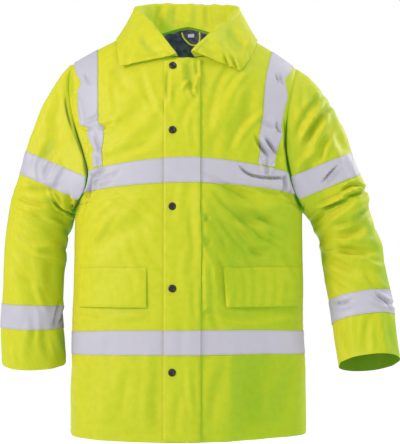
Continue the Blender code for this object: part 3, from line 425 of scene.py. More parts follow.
@dataclass(frozen=True)
class BodyForm:
    """The filled-out body of the jacket.

    Rise runs up it: -1 at the hem, 0 at the underarm, 1 at the shoulder seam. Turn is 0 at the
    centre of a face and a quarter circle at the side.
    """

    hem_z: float = -0.866
    underarm_z: float = -0.386
    base_lift: float = 0.016
    underarm_half: float = 0.2435
    section_shape: float = 2.35
    vault_shape: float = 2.7
    seam_gap: float = 0.0003
    back_neck_lift: float = 0.016
    neck_half: float = 0.092
    front_neck_rise: float = 0.73
    back_neck_rise: float = 0.945
    centre_out: float = 0.0004
    neck_row: float = 0.44
    neck_share: float = 5 / 12
    armhole_reach: float = 0.012
    fall_back: float = 0.36
    fall_back_start: float = 0.12
    fall_back_rises: tuple[float, float] = (0.07, -0.25)
    chest_tape: tuple[float, float] = (0.0725, 0.2025)
    hip_tape: tuple[float, float] = (-0.6464, -0.5464)
    sizes: Table = Table(("rise", "half_width", "front_depth", "back_depth"), (
        (-1.0, 0.252, 0.158, 0.132), (-0.55, 0.248, 0.155, 0.13), (0.0, 0.2435, 0.151, 0.134),
        (0.5, 0.252, 0.149, 0.137), (0.8, 0.264, 0.147, 0.134), (1.0, 0.268, 0.146, 0.13)))
    shoulder_right: Table = Table(("out", "height"), (
        (0.0, 0.03), (0.05, 0.02), (0.092, 0.006), (0.15, -0.0205), (0.195, -0.0425), (0.249, -0.0715),
        (0.29, -0.094)))
    shoulder_left: Table = Table(("out", "height"), (
        (0.0, 0.03), (0.05, 0.019), (0.092, 0.003), (0.147, -0.0265), (0.182, -0.0475), (0.2337, -0.0825),
        (0.29, -0.122)))
    armhole_right_front: Table = Table(("rise", "out"), (
        (0.0, 0.2435), (0.086, 0.216), (0.172, 0.209), (0.322, 0.219), (0.49, 0.236), (0.654, 0.249),
        (0.792, 0.256), (0.91, 0.256), (1.0, 0.249)))
    armhole_left_front: Table = Table(("rise", "out"), (
        (0.0, 0.2435), (0.089, 0.224), (0.188, 0.213), (0.332, 0.206), (0.48, 0.2058), (0.623, 0.2105),
        (0.754, 0.218), (0.886, 0.227), (1.0, 0.2337)))
    armhole_right_back: Table = Table(("rise", "out"), (
        (0.0, 0.2435), (0.09, 0.2265), (0.2, 0.2205), (0.35, 0.2235), (0.5, 0.231), (0.66, 0.241),
        (0.8, 0.249), (0.92, 0.252), (1.0, 0.249)))
    armhole_left_back: Table = Table(("rise", "out"), (
        (0.0, 0.2435), (0.09, 0.229), (0.2, 0.221), (0.35, 0.217), (0.5, 0.217), (0.66, 0.2205),
        (0.8, 0.226), (0.92, 0.231), (1.0, 0.2337)))
    front_folds: tuple[Fold, ...] = (
        Fold(0.12, -0.43, -28.0, 0.11, 0.026, 0.005), Fold(0.11, -0.492, -30.0, 0.1, 0.024, -0.004),
        Fold(0.15, -0.385, -20.0, 0.07, 0.022, -0.0045), Fold(0.165, -0.2, 62.0, 0.08, 0.022, -0.0035),
        Fold(0.085, -0.15, -48.0, 0.07, 0.026, -0.0035), Fold(-0.15, -0.42, 24.0, 0.09, 0.028, 0.0035),
        Fold(-0.12, -0.2, 40.0, 0.08, 0.028, -0.003), Fold(-0.14, -0.77, 82.0, 0.08, 0.028, 0.005),
        Fold(-0.06, -0.78, 92.0, 0.07, 0.024, -0.0045), Fold(0.07, -0.78, 98.0, 0.07, 0.024, 0.005),
        Fold(0.15, -0.77, 84.0, 0.08, 0.028, -0.0045))
    back_folds: tuple[Fold, ...] = (
        Fold(-0.13, -0.33, 50.0, 0.09, 0.03, -0.0045), Fold(0.135, -0.32, -48.0, 0.09, 0.03, -0.0045),
        Fold(0.0, -0.18, 90.0, 0.09, 0.035, -0.003), Fold(-0.08, -0.52, 76.0, 0.11, 0.03, 0.0045),
        Fold(0.09, -0.54, -78.0, 0.11, 0.03, 0.0045), Fold(0.0, -0.78, 90.0, 0.08, 0.03, -0.0045),
        Fold(-0.16, -0.78, 86.0, 0.08, 0.028, 0.0045), Fold(0.16, -0.78, -86.0, 0.08, 0.028, 0.0045))

    def base_height(self, out: Array) -> Array:
        """Height of the underarm level, which runs a little higher at the centre."""
        return self.underarm_z + self.base_lift * (1 - np.clip(out / self.underarm_half, 0, 1)**3)

    def shoulder_height(self, side: Side, facing: Array | Face, out: Array) -> Array:
        """Height of the shoulder seam, and of the neck at the back.

        Args:
            side: Which side.
            facing: Which face, point by point.
            out: Distances from the centre.

        Returns:
            The heights.
        """
        table = self.shoulder_right if side == Side.RIGHT else self.shoulder_left
        lift = self.back_neck_lift * np.clip(1 - (out / self.neck_half)**2, 0, 1)**2
        return table.read("height", out) + np.where(facing == Face.BACK, lift, 0)

    def height_at(self, side: Side, facing: Array | Face, out: Array, rise: Array) -> Array:
        """Height of a body point.

        Args:
            side: Which side.
            facing: Which face, point by point.
            out: Distance from the centre.
            rise: The rise.

        Returns:
            The heights.
        """
        base = self.base_height(out)
        below = self.hem_z + (base - self.hem_z) * (1 + rise)
        above = base + (self.shoulder_height(side, facing, out) - base) * rise
        return np.where(rise < 0, below, above)

    def rise_of(self, side: Side, facing: Face, out: Array, z: Array) -> Array:
        """The rise of body points from their height.

        Args:
            side: Which side.
            facing: Which face.
            out: Distances from the centre.
            z: Heights.

        Returns:
            The rises.
        """
        base = self.base_height(out)
        below = (z - self.hem_z) / (base - self.hem_z) - 1
        above = (z - base) / (self.shoulder_height(side, facing, out) - base)
        return np.where(z < base, below, above)

    def turn_of(self, out: Array, rise: Array) -> Array:
        """Turn at which the body is this far out from the centre."""
        half_width = self.sizes.read("half_width", rise)
        return np.arcsin(np.clip(np.abs(out) / half_width, 0, 1)**(self.section_shape / 2))

    def point(self, face: Face, side: Side, turn: Array, rise: Array) -> Array:
        """Points of the outer side.

        Args:
            face: Front or back.
            side: Right or left.
            turn: Turns; past the side seam they run on round the other face.
            rise: Rises; past the shoulder seam they run down the other face.

        Returns:
            The points.
        """
        turn, rise = np.broadcast_arrays(np.asarray(turn, float), np.asarray(rise, float))
        level = np.where(rise > 1, 2 - rise, rise)
        half_width = self.sizes.read("half_width", level)
        cos = np.cos(turn)
        reach = np.sign(cos) * np.abs(cos)**(2 / self.section_shape)
        out = half_width * np.abs(np.sin(turn))**(2 / self.section_shape)
        x = side * np.sign(np.sin(turn)) * out
        facing = face * np.where(reach < 0, -1, 1) * np.where(rise > 1, -1, 1)
        depth = np.where(facing == Face.FRONT, self.sizes.read("front_depth", level),
                         self.sizes.read("back_depth", level))
        vault = (1 - np.clip(level, 0, 1)**self.vault_shape)**(1 / self.vault_shape)
        z = self.height_at(side, facing, out, level)
        front, back = (sum(fold.over(x - fold.across, z - fold.up) for fold in folds)
                       for folds in (self.front_folds, self.back_folds))
        swell = 1 + np.where(facing == Face.FRONT, front, back) * vault * np.abs(reach) / depth
        share = out / half_width
        lost = self.fall_back * ease(level, *self.fall_back_rises)
        lost = lost * share**2 / (share + self.fall_back_start)
        depth = depth * (1 - np.where((facing == Face.FRONT) & (x > 0), lost, 0))
        return stacked(x, facing * (depth * np.abs(reach) * vault * swell + self.seam_gap / 2), z)

    def normal(self, face: Face, side: Side, turn: Array, rise: Array) -> Array:
        """The way the outer side faces.

        Args:
            face: Front or back.
            side: Right or left.
            turn: Turns.
            rise: Rises.

        Returns:
            Directions of length 1.
        """
        step = 1e-3
        across = self.point(face, side, turn + step, rise) - self.point(face, side, turn - step, rise)
        up = self.point(face, side, turn, rise + step) - self.point(face, side, turn, rise - step)
        return unit(np.cross(across, up)) * -face * side

    def neckline(self, face: Face, share: Array) -> tuple[Array, Array]:
        """The neckline.

        Args:
            face: Front or back.
            share: Shares of the way from the centre to the shoulder seam.

        Returns:
            Distances out and rises.
        """
        start = self.front_neck_rise if face == Face.FRONT else self.back_neck_rise
        angle = np.asarray(share) * np.pi / 2
        return np.maximum(self.neck_half * np.sin(angle), self.centre_out), 1 - (1 - start) * np.cos(angle)

    def armhole(self, face: Face, side: Side) -> Table:
        """The armhole up one face.

        Args:
            face: Front or back.
            side: Right or left.

        Returns:
            Its distances out, by rise.
        """
        front = self.armhole_right_front if side == Side.RIGHT else self.armhole_left_front
        back = self.armhole_right_back if side == Side.RIGHT else self.armhole_left_back
        return front if face == Face.FRONT else back

    def outer_turn(self, face: Face, side: Side, rise: Array) -> Array:
        """Turn of a row's outer end: the side seam, then the armhole."""
        out = self.armhole(face, side).read("out", np.clip(rise, 0, 1))
        return np.where(rise <= 0, np.pi / 2, self.turn_of(out, rise))

    def places(self, face: Face, side: Side, rows: Array, shares: Array) -> tuple[Array, Array]:
        """Turns and rises of a panel's grid, whose top row follows the neckline and shoulder seam.

        Args:
            face: Front or back.
            side: Right or left.
            rows: Rows up the panel, as rises at its side.
            shares: Shares of the way from the centre to the side.

        Returns:
            The turns and the rises, a row each.
        """
        rows = np.asarray(rows, float)[:, None]
        neck_out, neck_rise = self.neckline(face, np.minimum(shares / self.neck_share, 1))
        shoulder_end = self.turn_of(self.armhole(face, side).read("out", 1.0), 1.0)
        shoulder_start = self.turn_of(self.neck_half, 1.0)
        past = np.clip((shares - self.neck_share) / (1 - self.neck_share), 0, 1)
        top_turn = np.where(shares <= self.neck_share, self.turn_of(neck_out, neck_rise),
                            shoulder_start + (shoulder_end - shoulder_start) * past)
        climb = np.clip((rows - self.neck_row) / (1 - self.neck_row), 0, 1)
        upper = self.neck_row + climb * (neck_rise[None, :] - self.neck_row)
        rises = np.where(rows <= self.neck_row, rows, upper)
        blend = climb**2 * (3 - 2 * climb)
        share = (1 - blend) * shares[None, :] + blend * top_turn[None, :] / shoulder_end
        start = self.turn_of(self.centre_out if face == Face.FRONT else 0.0, rises)
        turns = np.maximum(self.outer_turn(face, side, rows) * share, start)
        return np.where(climb >= 1, top_turn[None, :], turns), rises

    def clear(self, points: Array, clearance: Array | float) -> Array:
        """Points moved straight off the body where they come closer to it than the clearance.

        Args:
            points: Points near the body.
            clearance: The least distance, for all or point by point.

        Returns:
            The points, moved where needed.
        """
        points = points.copy()
        clearance = np.broadcast_to(clearance, points.shape[:-1])
        for side in Side:
            for facing in Face:
                own = (points[..., 0] >= 0) == (side == Side.LEFT)
                own &= (points[..., 1] < 0) == (facing == Face.FRONT)
                near, least = points[own], clearance[own]
                out, z = np.abs(near[:, 0]), near[:, 2]
                rise = self.rise_of(side, facing, out, z)
                high = rise >= 1
                # Past the armhole the body has no panel to stay clear of.
                armhole = self.armhole(facing, side).read("out", np.clip(rise, 0, 1))
                part = np.clip((armhole + self.armhole_reach - out) / self.armhole_reach, 0, 1)
                part = np.where(rise > 0, part, 1)
                raised = np.maximum(least - (z - self.shoulder_height(side, facing, out)), 0)
                near[:, 2] += np.where(high & (out > self.neck_half), raised, 0) * part
                rise = np.clip(rise, -1, 0.999)
                turn = self.turn_of(out, rise)
                normal = self.normal(facing, side, turn, rise)
                apart = np.sum((near - self.point(facing, side, turn, rise)) * normal, axis=-1)
                near += normal * (np.where(high, 0, np.maximum(least - apart, 0)) * part)[:, None]
                points[own] = near
        return points


# ---------------------------------------------------------------- the form of a sleeve
@dataclass(frozen=True)
class SleeveForm:
    """A filled-out sleeve: ring 0 is the armhole, 1 the underarm ring, the last the cuff."""

    body: BodyForm
    side: Side
    stations: Table
    folds: tuple[Fold, ...]
    fullness: float
    cuff_dip: float
    tape_tilt: float
    tape: tuple[float, float]
    wrist_tape: tuple[float, float]
    cap_slope: tuple[float, float] = (0.85, 0.53)
    underarm_gap: float = 0.0016
    clearance: float = 0.0045
    clear_ring: float = 0.12
    tape_start: float = 0.06
    tape_least: float = 0.018
    ring_pitch: float = 0.055
    fold_ring: float = 0.35    # folds reach their full height at this ring

    @property
    def last(self) -> int:
        """The cuff's ring."""
        return len(self.stations.rows)

    def paths(self, face: Face) -> tuple[Array, Array]:
        """The armhole up one face, from the underarm.

        Args:
            face: Front or back.

        Returns:
            Rises, and the share of its length at which each one lies.
        """
        rises = np.linspace(0, 1, 241)
        points = self.body.point(face, self.side, self.body.outer_turn(face, self.side, rises), rises)
        lengths = path_lengths(points)
        return rises, lengths / lengths[-1]

    def armhole_edge(self, around: Array) -> Array:
        """Points of the armhole where the sleeve begins.

        Args:
            around: Shares of the way round, 0 at the shoulder and 0.5 at the underarm.

        Returns:
            The points.
        """
        around = np.mod(around, 1.0)
        points = np.empty(around.shape + (3,))
        for face in Face:
            own = around <= 0.5 if face == Face.FRONT else around > 0.5
            share = 1 - 2 * around[own] if face == Face.FRONT else 2 * around[own] - 1
            rises, shares = self.paths(face)
            rise = np.interp(share, shares, rises)
            turn = self.body.outer_turn(face, self.side, rise)
            normal = self.body.normal(face, self.side, turn, rise)
            before, after = (
                self.body.point(face, self.side, self.body.outer_turn(face, self.side, level), level)
                for level in (np.clip(rise - 4e-3, 0, 1), np.clip(rise + 4e-3, 0, 1)))
            here = self.body.point(face, self.side, turn, rise)
            away = unit(np.cross(normal, after - before))
            outwards = unit(here - self.body.point(face, self.side, turn - 1e-3, rise)) + (0.0, 0.0, 0.5)
            away *= np.sign(np.sum(away * outwards, axis=1, keepdims=True))
            gap = 1.5 * self.body.seam_gap + self.underarm_gap * (1 - share[:, None])**2
            points[own] = here + gap * away
        return points

    def ring_frame(self, ring: Array) -> tuple[Array, ...]:
        """Where rings of the arm lie, and how large they are.

        Args:
            ring: Rings down the arm.

        Returns:
            Middle, way down, way out, way forward, width and depth of each.
        """
        place = np.clip(ring - 1, 0, self.last - 1)
        count = np.arange(self.last, dtype=float)
        size = {name: smooth(place, count, self.stations.column(name)) for name in self.stations.columns}
        tilt, lean = np.radians(size["tilt"]), np.radians(size["lean"])
        middle = stacked(self.side * size["out"], -size["fore"], size["height"])
        down = stacked(self.side * np.sin(tilt) * np.cos(lean), -np.sin(lean), -np.cos(tilt) * np.cos(lean))
        outward = stacked(self.side * np.cos(tilt), np.zeros_like(tilt), np.sin(tilt))
        forward = stacked(-self.side * np.sin(tilt) * np.sin(lean), -np.cos(lean),
                          np.cos(tilt) * np.sin(lean))
        return middle, down, outward, forward, size["width"], size["depth"]

    def point(self, around: Array, ring: Array) -> Array:
        """Points of the outer side.

        Args:
            around: Shares of the way round, 0 at the outer side, 0.25 at the front.
            ring: Rings down the arm.

        Returns:
            The points.
        """
        around, ring = np.broadcast_arrays(np.asarray(around, float), np.asarray(ring, float))
        middle, down, outward, forward, width, depth = self.ring_frame(np.maximum(ring, 1))
        angle = 2 * np.pi * around
        cos, sin = np.cos(angle)[..., None], np.sin(angle)[..., None]
        radial = unit(cos * outward + sin * forward)
        oval = middle + cos * outward * width[..., None] / 2 + sin * forward * depth[..., None] / 2
        start = self.armhole_edge(around)
        gap = np.linalg.norm(oval - start, axis=-1, keepdims=True)
        slope = stacked(self.side * self.cap_slope[0], 0.0, -self.cap_slope[1])
        under = ((1 - np.cos(angle)) / 2)[..., None]
        leave = unit(slope * (1 - under) + down * under)
        full = self.fullness * (1 - under) + under
        t = np.minimum(ring, 1)[..., None]
        cap = (start * (2 * t**3 - 3 * t**2 + 1) + oval * (3 * t**2 - 2 * t**3)
               + gap * full * (leave * (t**3 - 2 * t**2 + t) + down * (t**3 - t**2)))
        points = np.where(ring[..., None] < 1, cap, oval)
        girth = np.pi * (width + depth) / 2
        folds = sum(fold.over((np.mod(around - fold.across + 0.5, 1.0) - 0.5) * girth,
                              (fold.up - ring) * self.ring_pitch) for fold in self.folds)
        points = points + radial * (folds * np.clip(ring / self.fold_ring, 0, 1)**2)[..., None]
        dip = np.clip(ring - self.last + 1, 0, 1)**2 * np.clip(np.sin(angle), 0, 1)
        points[..., 2] -= self.cuff_dip * dip
        return self.body.clear(points, self.clearance * np.clip(ring / self.clear_ring, 0, 1))

    def normal(self, around: Array, ring: Array) -> Array:
        """The way the outer side faces.

        Args:
            around: Shares of the way round.
            ring: Rings down the arm.

        Returns:
            Directions of length 1.
        """
        step = 2e-3
        across = self.point(around + step, ring) - self.point(around - step, ring)
        low, high = np.minimum(ring + step, self.last), np.maximum(ring - step, 0)
        along = self.point(around, low) - self.point(around, high)
        return unit(np.cross(across, along)) * int(self.side)

    def ring_at_height(self, height: float) -> float:
        """The ring whose middle lies at this height."""
        rings = np.linspace(1, self.last, 400)
        return float(np.interp(-height, -self.ring_frame(rings)[0][:, 2], rings))

    def tape_rings(self, around: Array) -> tuple[Array, Array, Array]:
        """Rings of the upper tape's two edges round the arm, and where the tape runs.

        Args:
            around: Shares of the way round.

        Returns:
            The rings of its top and bottom edge, and which of the shares it covers.
        """
        tilt = math.radians(self.tape_tilt)
        square = np.array([self.side * math.sin(tilt), 0.0, -math.cos(tilt)])
        edges = []
        for offset in self.tape:
            low, high = np.zeros_like(around), np.full_like(around, 2.5)
            for _ in range(24):
                middle = (low + high) / 2
                beyond = self.point(around, middle) @ square > offset
                high, low = np.where(beyond, middle, high), np.where(beyond, low, middle)
            edges.append((low + high) / 2)
        top, bottom = np.maximum(edges[0], self.tape_start), edges[1]
        length = np.linalg.norm(self.point(around, bottom) - self.point(around, top), axis=1)
        return top, bottom, (bottom > top) & (length > self.tape_least)


STATION_COLUMNS = ("out", "height", "fore", "tilt", "lean", "width", "depth")


def right_sleeve(body: BodyForm) -> SleeveForm:
    """The wearer's right sleeve, which hangs nearly straight.

    Args:
        body: The body that it is sewn on.

    Returns:
        The form.
    """
    stations = Table(STATION_COLUMNS, (
        (0.315, -0.3885, -0.004, 21.0, 0.0, 0.144, 0.152),
        (0.3262, -0.447, -0.006, 13.0, 0.0, 0.139, 0.138), (0.332, -0.505, -0.006, 7.0, 0.0, 0.1325, 0.126),
        (0.3347, -0.562, -0.005, 3.0, -1.0, 0.1305, 0.118),
        (0.3365, -0.616, -0.004, 1.5, -3.0, 0.132, 0.112),
        (0.3345, -0.67, -0.006, 0.0, -4.0, 0.1375, 0.108),
        (0.333, -0.719, -0.009, 0.0, -6.0, 0.1375, 0.104)))
    folds = (
        Fold(0.4, 1.15, -28.0, 0.07, 0.013, -0.0075), Fold(0.3, 1.55, -12.0, 0.075, 0.015, 0.0055),
        Fold(0.42, 1.95, -18.0, 0.06, 0.013, -0.0065), Fold(0.36, 2.6, -10.0, 0.06, 0.014, 0.004),
        Fold(0.2, 0.62, 40.0, 0.07, 0.018, -0.0045), Fold(0.44, 5.1, 38.0, 0.04, 0.01, -0.0045),
        Fold(0.7, 1.4, 20.0, 0.08, 0.016, -0.006), Fold(0.8, 2.1, -14.0, 0.08, 0.016, 0.005))
    return SleeveForm(body, Side.RIGHT, stations, folds, fullness=0.70, cuff_dip=0.007, tape_tilt=24.2,
                      tape=(0.3832, 0.4332), wrist_tape=(-0.592, -0.642))


def left_sleeve(body: BodyForm) -> SleeveForm:
    """The wearer's left sleeve, bent forward at the elbow.

    Args:
        body: The body that it is sewn on.

    Returns:
        The form.
    """
    stations = Table(STATION_COLUMNS, (
        (0.328, -0.39, -0.006, 23.0, -2.0, 0.135, 0.15), (0.344, -0.436, -0.012, 18.0, 0.0, 0.124, 0.14),
        (0.3555, -0.478, -0.012, 10.0, 6.0, 0.134, 0.128),
        (0.3595, -0.516, -0.006, 7.0, 12.0, 0.134, 0.122), (0.368, -0.572, 0.01, 9.0, 15.0, 0.134, 0.116),
        (0.3735, -0.617, 0.022, 8.0, 16.0, 0.134, 0.112), (0.3785, -0.664, 0.035, 7.0, 17.0, 0.131, 0.11),
        (0.3834, -0.714, 0.05, 5.0, 17.0, 0.13, 0.108)))
    folds = (
        Fold(0.28, 0.45, -62.0, 0.08, 0.016, -0.006), Fold(0.16, 0.5, -64.0, 0.08, 0.016, 0.006),
        Fold(0.14, 1.1, -18.0, 0.05, 0.015, 0.008), Fold(0.16, 1.75, -20.0, 0.06, 0.015, -0.0065),
        Fold(0.28, 2.35, 26.0, 0.07, 0.014, 0.007), Fold(0.34, 2.9, 24.0, 0.06, 0.013, -0.006),
        Fold(0.26, 3.45, 22.0, 0.06, 0.014, 0.0045), Fold(0.72, 1.6, 18.0, 0.08, 0.016, -0.006),
        Fold(0.8, 2.5, -16.0, 0.08, 0.016, 0.006))
    return SleeveForm(body, Side.LEFT, stations, folds, fullness=1.15, cuff_dip=0.0, tape_tilt=22.5,
                      tape=(0.3819, 0.4319), wrist_tape=(-0.577, -0.625))


# ---------------------------------------------------------------- finishes
def linear(hex_colour: str) -> tuple[float, float, float, float]:
    """An sRGB hex colour as linear numbers.

    Args:
        hex_colour: Six hex digits after a hash.

    Returns:
        Red, green, blue and an alpha of 1.
    """
    channels = [int(hex_colour[place:place + 2], 16) / 255 for place in (1, 3, 5)]
    red, green, blue = (c / 12.92 if c <= 0.04045 else ((c + 0.055) / 1.055)**2.4 for c in channels)
    return red, green, blue, 1.0


def fill(node: bpy.types.Node, values: dict) -> bpy.types.Node:
    """Gives a node its settings, and feeds it with the outputs among them.

    Args:
        node: The node.
        values: Numbers, colours, hex stops of a ramp or output sockets, by property name, or by
            input name or number.

    Returns:
        The node.
    """
    for name, value in values.items():
        if isinstance(value, bpy.types.NodeSocket):
            node.id_data.links.new(value, node.inputs[name])
        elif name == "stops":
            for element, (place, colour) in zip(node.color_ramp.elements, value):
                element.position = place
                element.color = linear(colour)
        elif isinstance(name, str) and hasattr(node, name):
            setattr(node, name, value)
        else:
            node.inputs[name].default_value = value
    return node


def add_node(tree: bpy.types.NodeTree, kind: str, values: dict | None = None) -> bpy.types.Node:
    """Adds a node of a kind, such as TexNoise, with its settings and links."""
    return fill(tree.nodes.new(f"ShaderNode{kind}"), values or {})


def new_material(name: str, colour: str) -> tuple[bpy.types.Material, bpy.types.NodeTree, bpy.types.Node]:
    """A material with a Principled surface.

    Args:
        name: Its name.
        colour: Its colour where no light is worked out.

    Returns:
        The material, its node tree and its Principled node.
    """
    made = bpy.data.materials.new(name)
    made.use_nodes = True
    made.diffuse_color = linear(colour)
    return made, made.node_tree, made.node_tree.nodes["Principled BSDF"]


@dataclass(frozen=True)
class OxfordCloth:
    """Fluorescent polyester oxford, woven and coated with polyurethane on its inner side.

    The dye is fluorescent, drawn as a painted glow: a fixed green emission, dimmed only in hollows
    and under painted shade, that does not follow the lamps, so its shaded side goes green and not
    brown. The coating keeps it matt with a soft broad sheen.
    """

    name: str = "coated_fluorescent_polyester_oxford"
    colour: str = "#CF9E22"
    worn_colour: str = "#C9981E"
    glow: str = "#51FF26"
    glow_strength: float = 0.34
    hollow_glow: float = 0.35    # share of it that is left at the bottom of a deep hollow
    # colour under the thickest painted shade
    grimy_colour: str = "#3C4014"
    grimy_glow: float = 0.12     # share of it that is left under the thickest painted shade
    glow_reach: float = 0.14     # the painted glow dims where other cloth lies nearer than this, as if sky light from beyond it were what the dye turns green
    roughness: float = 0.56
    specular: float = 0.24
    sheen: tuple[float, float] = (0.05, 0.45)
    thread_mm: float = 0.9       # real thread pairs lie 0.6 mm apart, drawn coarser to show at all
    slub_mm: float = 16.0

    def make(self) -> bpy.types.Material:
        """Makes the material.

        Returns:
            The material.
        """
        made, tree, surface = new_material(self.name, self.colour)
        place = add_node(tree, "Attribute", {"attribute_name": "cloth"}).outputs["Vector"]
        # The shade attribute holds painted shade: it darkens the colour towards a dark olive and dims the glow.
        painted_shade_amount = add_node(tree, "Attribute", {"attribute_name": "shade"}).outputs["Fac"]
        threads = {"Vector": place, "Scale": 1000 / self.thread_mm * 0.5 / math.pi, "Distortion": 0.4,
                   "Detail": 1.0}
        warp, weft = (add_node(tree, "TexWave", threads | {"bands_direction": way}).outputs["Fac"]
                      for way in "XY")
        weave = add_node(tree, "Math", {"operation": "MAXIMUM", 0: warp, 1: weft}).outputs[0]
        slub = add_node(tree, "TexNoise", {"Scale": 1000 / self.slub_mm, "Detail": 3.0,
                                           "Vector": place}).outputs["Fac"]
        fine = add_node(tree, "Bump", {"Strength": 0.08, "Distance": 0.0001, "Height": weave}).outputs[0]
        bump = add_node(tree, "Bump", {"Strength": 0.10, "Distance": 0.0006, "Height": slub, "Normal": fine})
        tone = add_node(tree, "ValToRGB", {"Fac": slub, "stops": ((0.38, self.worn_colour),
                                                                  (0.62, self.colour))})
        base = add_node(tree, "MixRGB", {"Fac": painted_shade_amount, "Color1": tone.outputs[0],
                                         "Color2": linear(self.grimy_colour)})
        sky = add_node(tree, "AmbientOcclusion", {"samples": 8, "Distance": self.glow_reach})
        lit = add_node(tree, "MapRange", {"To Min": self.hollow_glow * self.glow_strength,
                                          "To Max": self.glow_strength, "Value": sky.outputs["AO"]})
        unshaded = add_node(tree, "MapRange", {"From Min": 0.3, "To Min": 1.0, "To Max": self.grimy_glow,
                                            "Value": painted_shade_amount})
        glow = add_node(tree, "Math", {"operation": "MULTIPLY", 0: lit.outputs[0], 1: unshaded.outputs[0]})
        fill(surface, {
            "Base Color": base.outputs[0], "Normal": bump.outputs[0], "Roughness": self.roughness,
            "Specular IOR Level": self.specular, "Sheen Weight": self.sheen[0],
            "Sheen Roughness": self.sheen[1], "Emission Color": linear(self.glow),
            "Emission Strength": glow.outputs[0]})
        return made


@dataclass(frozen=True)
class BeadTape:
    """Retroreflective tape: glass beads on a silvered cotton backing, matt lilac grey by day."""

    name: str = "glass_bead_reflective_tape"
    colour: str = "#6F6E75"
    dull_colour: str = "#69686F"
    returned_colour: str = "#C5C2CD"
    roughness: float = 0.55
    bead_mm: float = 0.8         # real beads are 0.06 mm, drawn coarser to show as grain
    scuff_mm: float = 22.0
    returned: float = 0.74       # painted glow that stands in for the light the beads send back, the same whichever way the tape faces
    glow_reach: float = 0.10

    def make(self) -> bpy.types.Material:
        """Makes the material.

        Returns:
            The material.
        """
        made, tree, surface = new_material(self.name, self.colour)
        place = add_node(tree, "Attribute", {"attribute_name": "cloth"}).outputs["Vector"]
        beads = add_node(tree, "TexVoronoi", {"Scale": 1000 / self.bead_mm, "Vector": place})
        scuff = add_node(tree, "TexNoise", {"Scale": 1000 / self.scuff_mm, "Detail": 4.0, "Roughness": 0.6,
                                            "Vector": place}).outputs["Fac"]
        fine = add_node(tree, "Bump", {"Strength": 0.12, "Distance": 0.0002,
                                       "Height": beads.outputs["Distance"]}).outputs[0]
        bump = add_node(tree, "Bump", {"Strength": 0.12, "Distance": 0.0006, "Height": scuff,
                                       "Normal": fine})
        tone = add_node(tree, "ValToRGB", {"Fac": scuff, "stops": ((0.35, self.dull_colour),
                                                                   (0.65, self.colour))})
        # Painted light: a fixed emission, dimmed in hollows, stands in for the light that the beads send back.
        sky = add_node(tree, "AmbientOcclusion", {"samples": 8, "Distance": self.glow_reach})
        glow = add_node(tree, "Math", {"operation": "MULTIPLY", 0: sky.outputs["AO"], 1: self.returned})
        fill(surface, {
            "Base Color": tone.outputs[0], "Normal": bump.outputs[0], "Metallic": 0.0,
            "Roughness": self.roughness, "Emission Color": linear(self.returned_colour),
            "Emission Strength": glow.outputs[0]})
        return made


@dataclass(frozen=True)
class SatinLining:
    """Thin woven polyester lining, navy, with the soft gloss of its long floats."""

    name: str = "woven_navy_polyester_lining"
    colour: str = "#8C70B4"
    deep_colour: str = "#443A5C"
    sky_gloss: str = "#0E0428"   # painted reflection: a faint blue glow that stands in for the sky light its gloss keeps among the yellow light of the shell
    roughness: float = 0.40
    sheen: float = 0.25
    thread_mm: float = 0.7       # real floats lie 0.3 mm apart, drawn coarser to show at all
    shade_mm: float = 14.0

    def make(self) -> bpy.types.Material:
        """Makes the material.

        Returns:
            The material.
        """
        made, tree, surface = new_material(self.name, self.colour)
        place = add_node(tree, "Attribute", {"attribute_name": "cloth"}).outputs["Vector"]
        threads = add_node(tree, "TexWave", {
            "bands_direction": "DIAGONAL", "Distortion": 0.3, "Scale": 1000 / self.thread_mm * 0.5 / math.pi,
            "Vector": place}).outputs["Fac"]
        shade = add_node(tree, "TexNoise", {"Scale": 1000 / self.shade_mm, "Detail": 3.0, "Vector": place})
        bump = add_node(tree, "Bump", {"Strength": 0.08, "Distance": 0.0002, "Height": threads})
        tone = add_node(tree, "ValToRGB", {"Fac": shade.outputs["Fac"], "stops": (
            (0.35, self.deep_colour), (0.65, self.colour))})
        # The faint blue emission is a painted reflection of the sky in the gloss.
        fill(surface, {
            "Base Color": tone.outputs[0], "Normal": bump.outputs[0], "Roughness": self.roughness,
            "Sheen Weight": self.sheen, "Emission Color": linear(self.sky_gloss), "Emission Strength": 1.0})
        return made


@dataclass(frozen=True)
class Enamel:
    """Black stoving enamel on a pressed brass snap cap, with fine dust in its gloss."""

    name: str = "black_enamelled_brass"
    colour: str = "#232323"
    dusty_colour: str = "#2E2E2E"
    roughness: float = 0.34
    dusty_roughness: float = 0.46
    dust_mm: float = 0.7

    def make(self) -> bpy.types.Material:
        """Makes the material.

        Returns:
            The material.
        """
        made, tree, surface = new_material(self.name, self.colour)
        place = add_node(tree, "TexCoord").outputs["Object"]
        dust = add_node(tree, "TexNoise", {"Scale": 1000 / self.dust_mm, "Detail": 2.0,
                                           "Vector": place}).outputs["Fac"]
        tone = add_node(tree, "ValToRGB", {"Fac": dust, "stops": ((0.4, self.colour),
                                                                  (0.7, self.dusty_colour))})
        rough = add_node(tree, "MapRange", {"To Min": self.roughness, "To Max": self.dusty_roughness,
                                            "Value": dust})
        fill(surface, {"Base Color": tone.outputs[0], "Roughness": rough.outputs[0]})
        return made


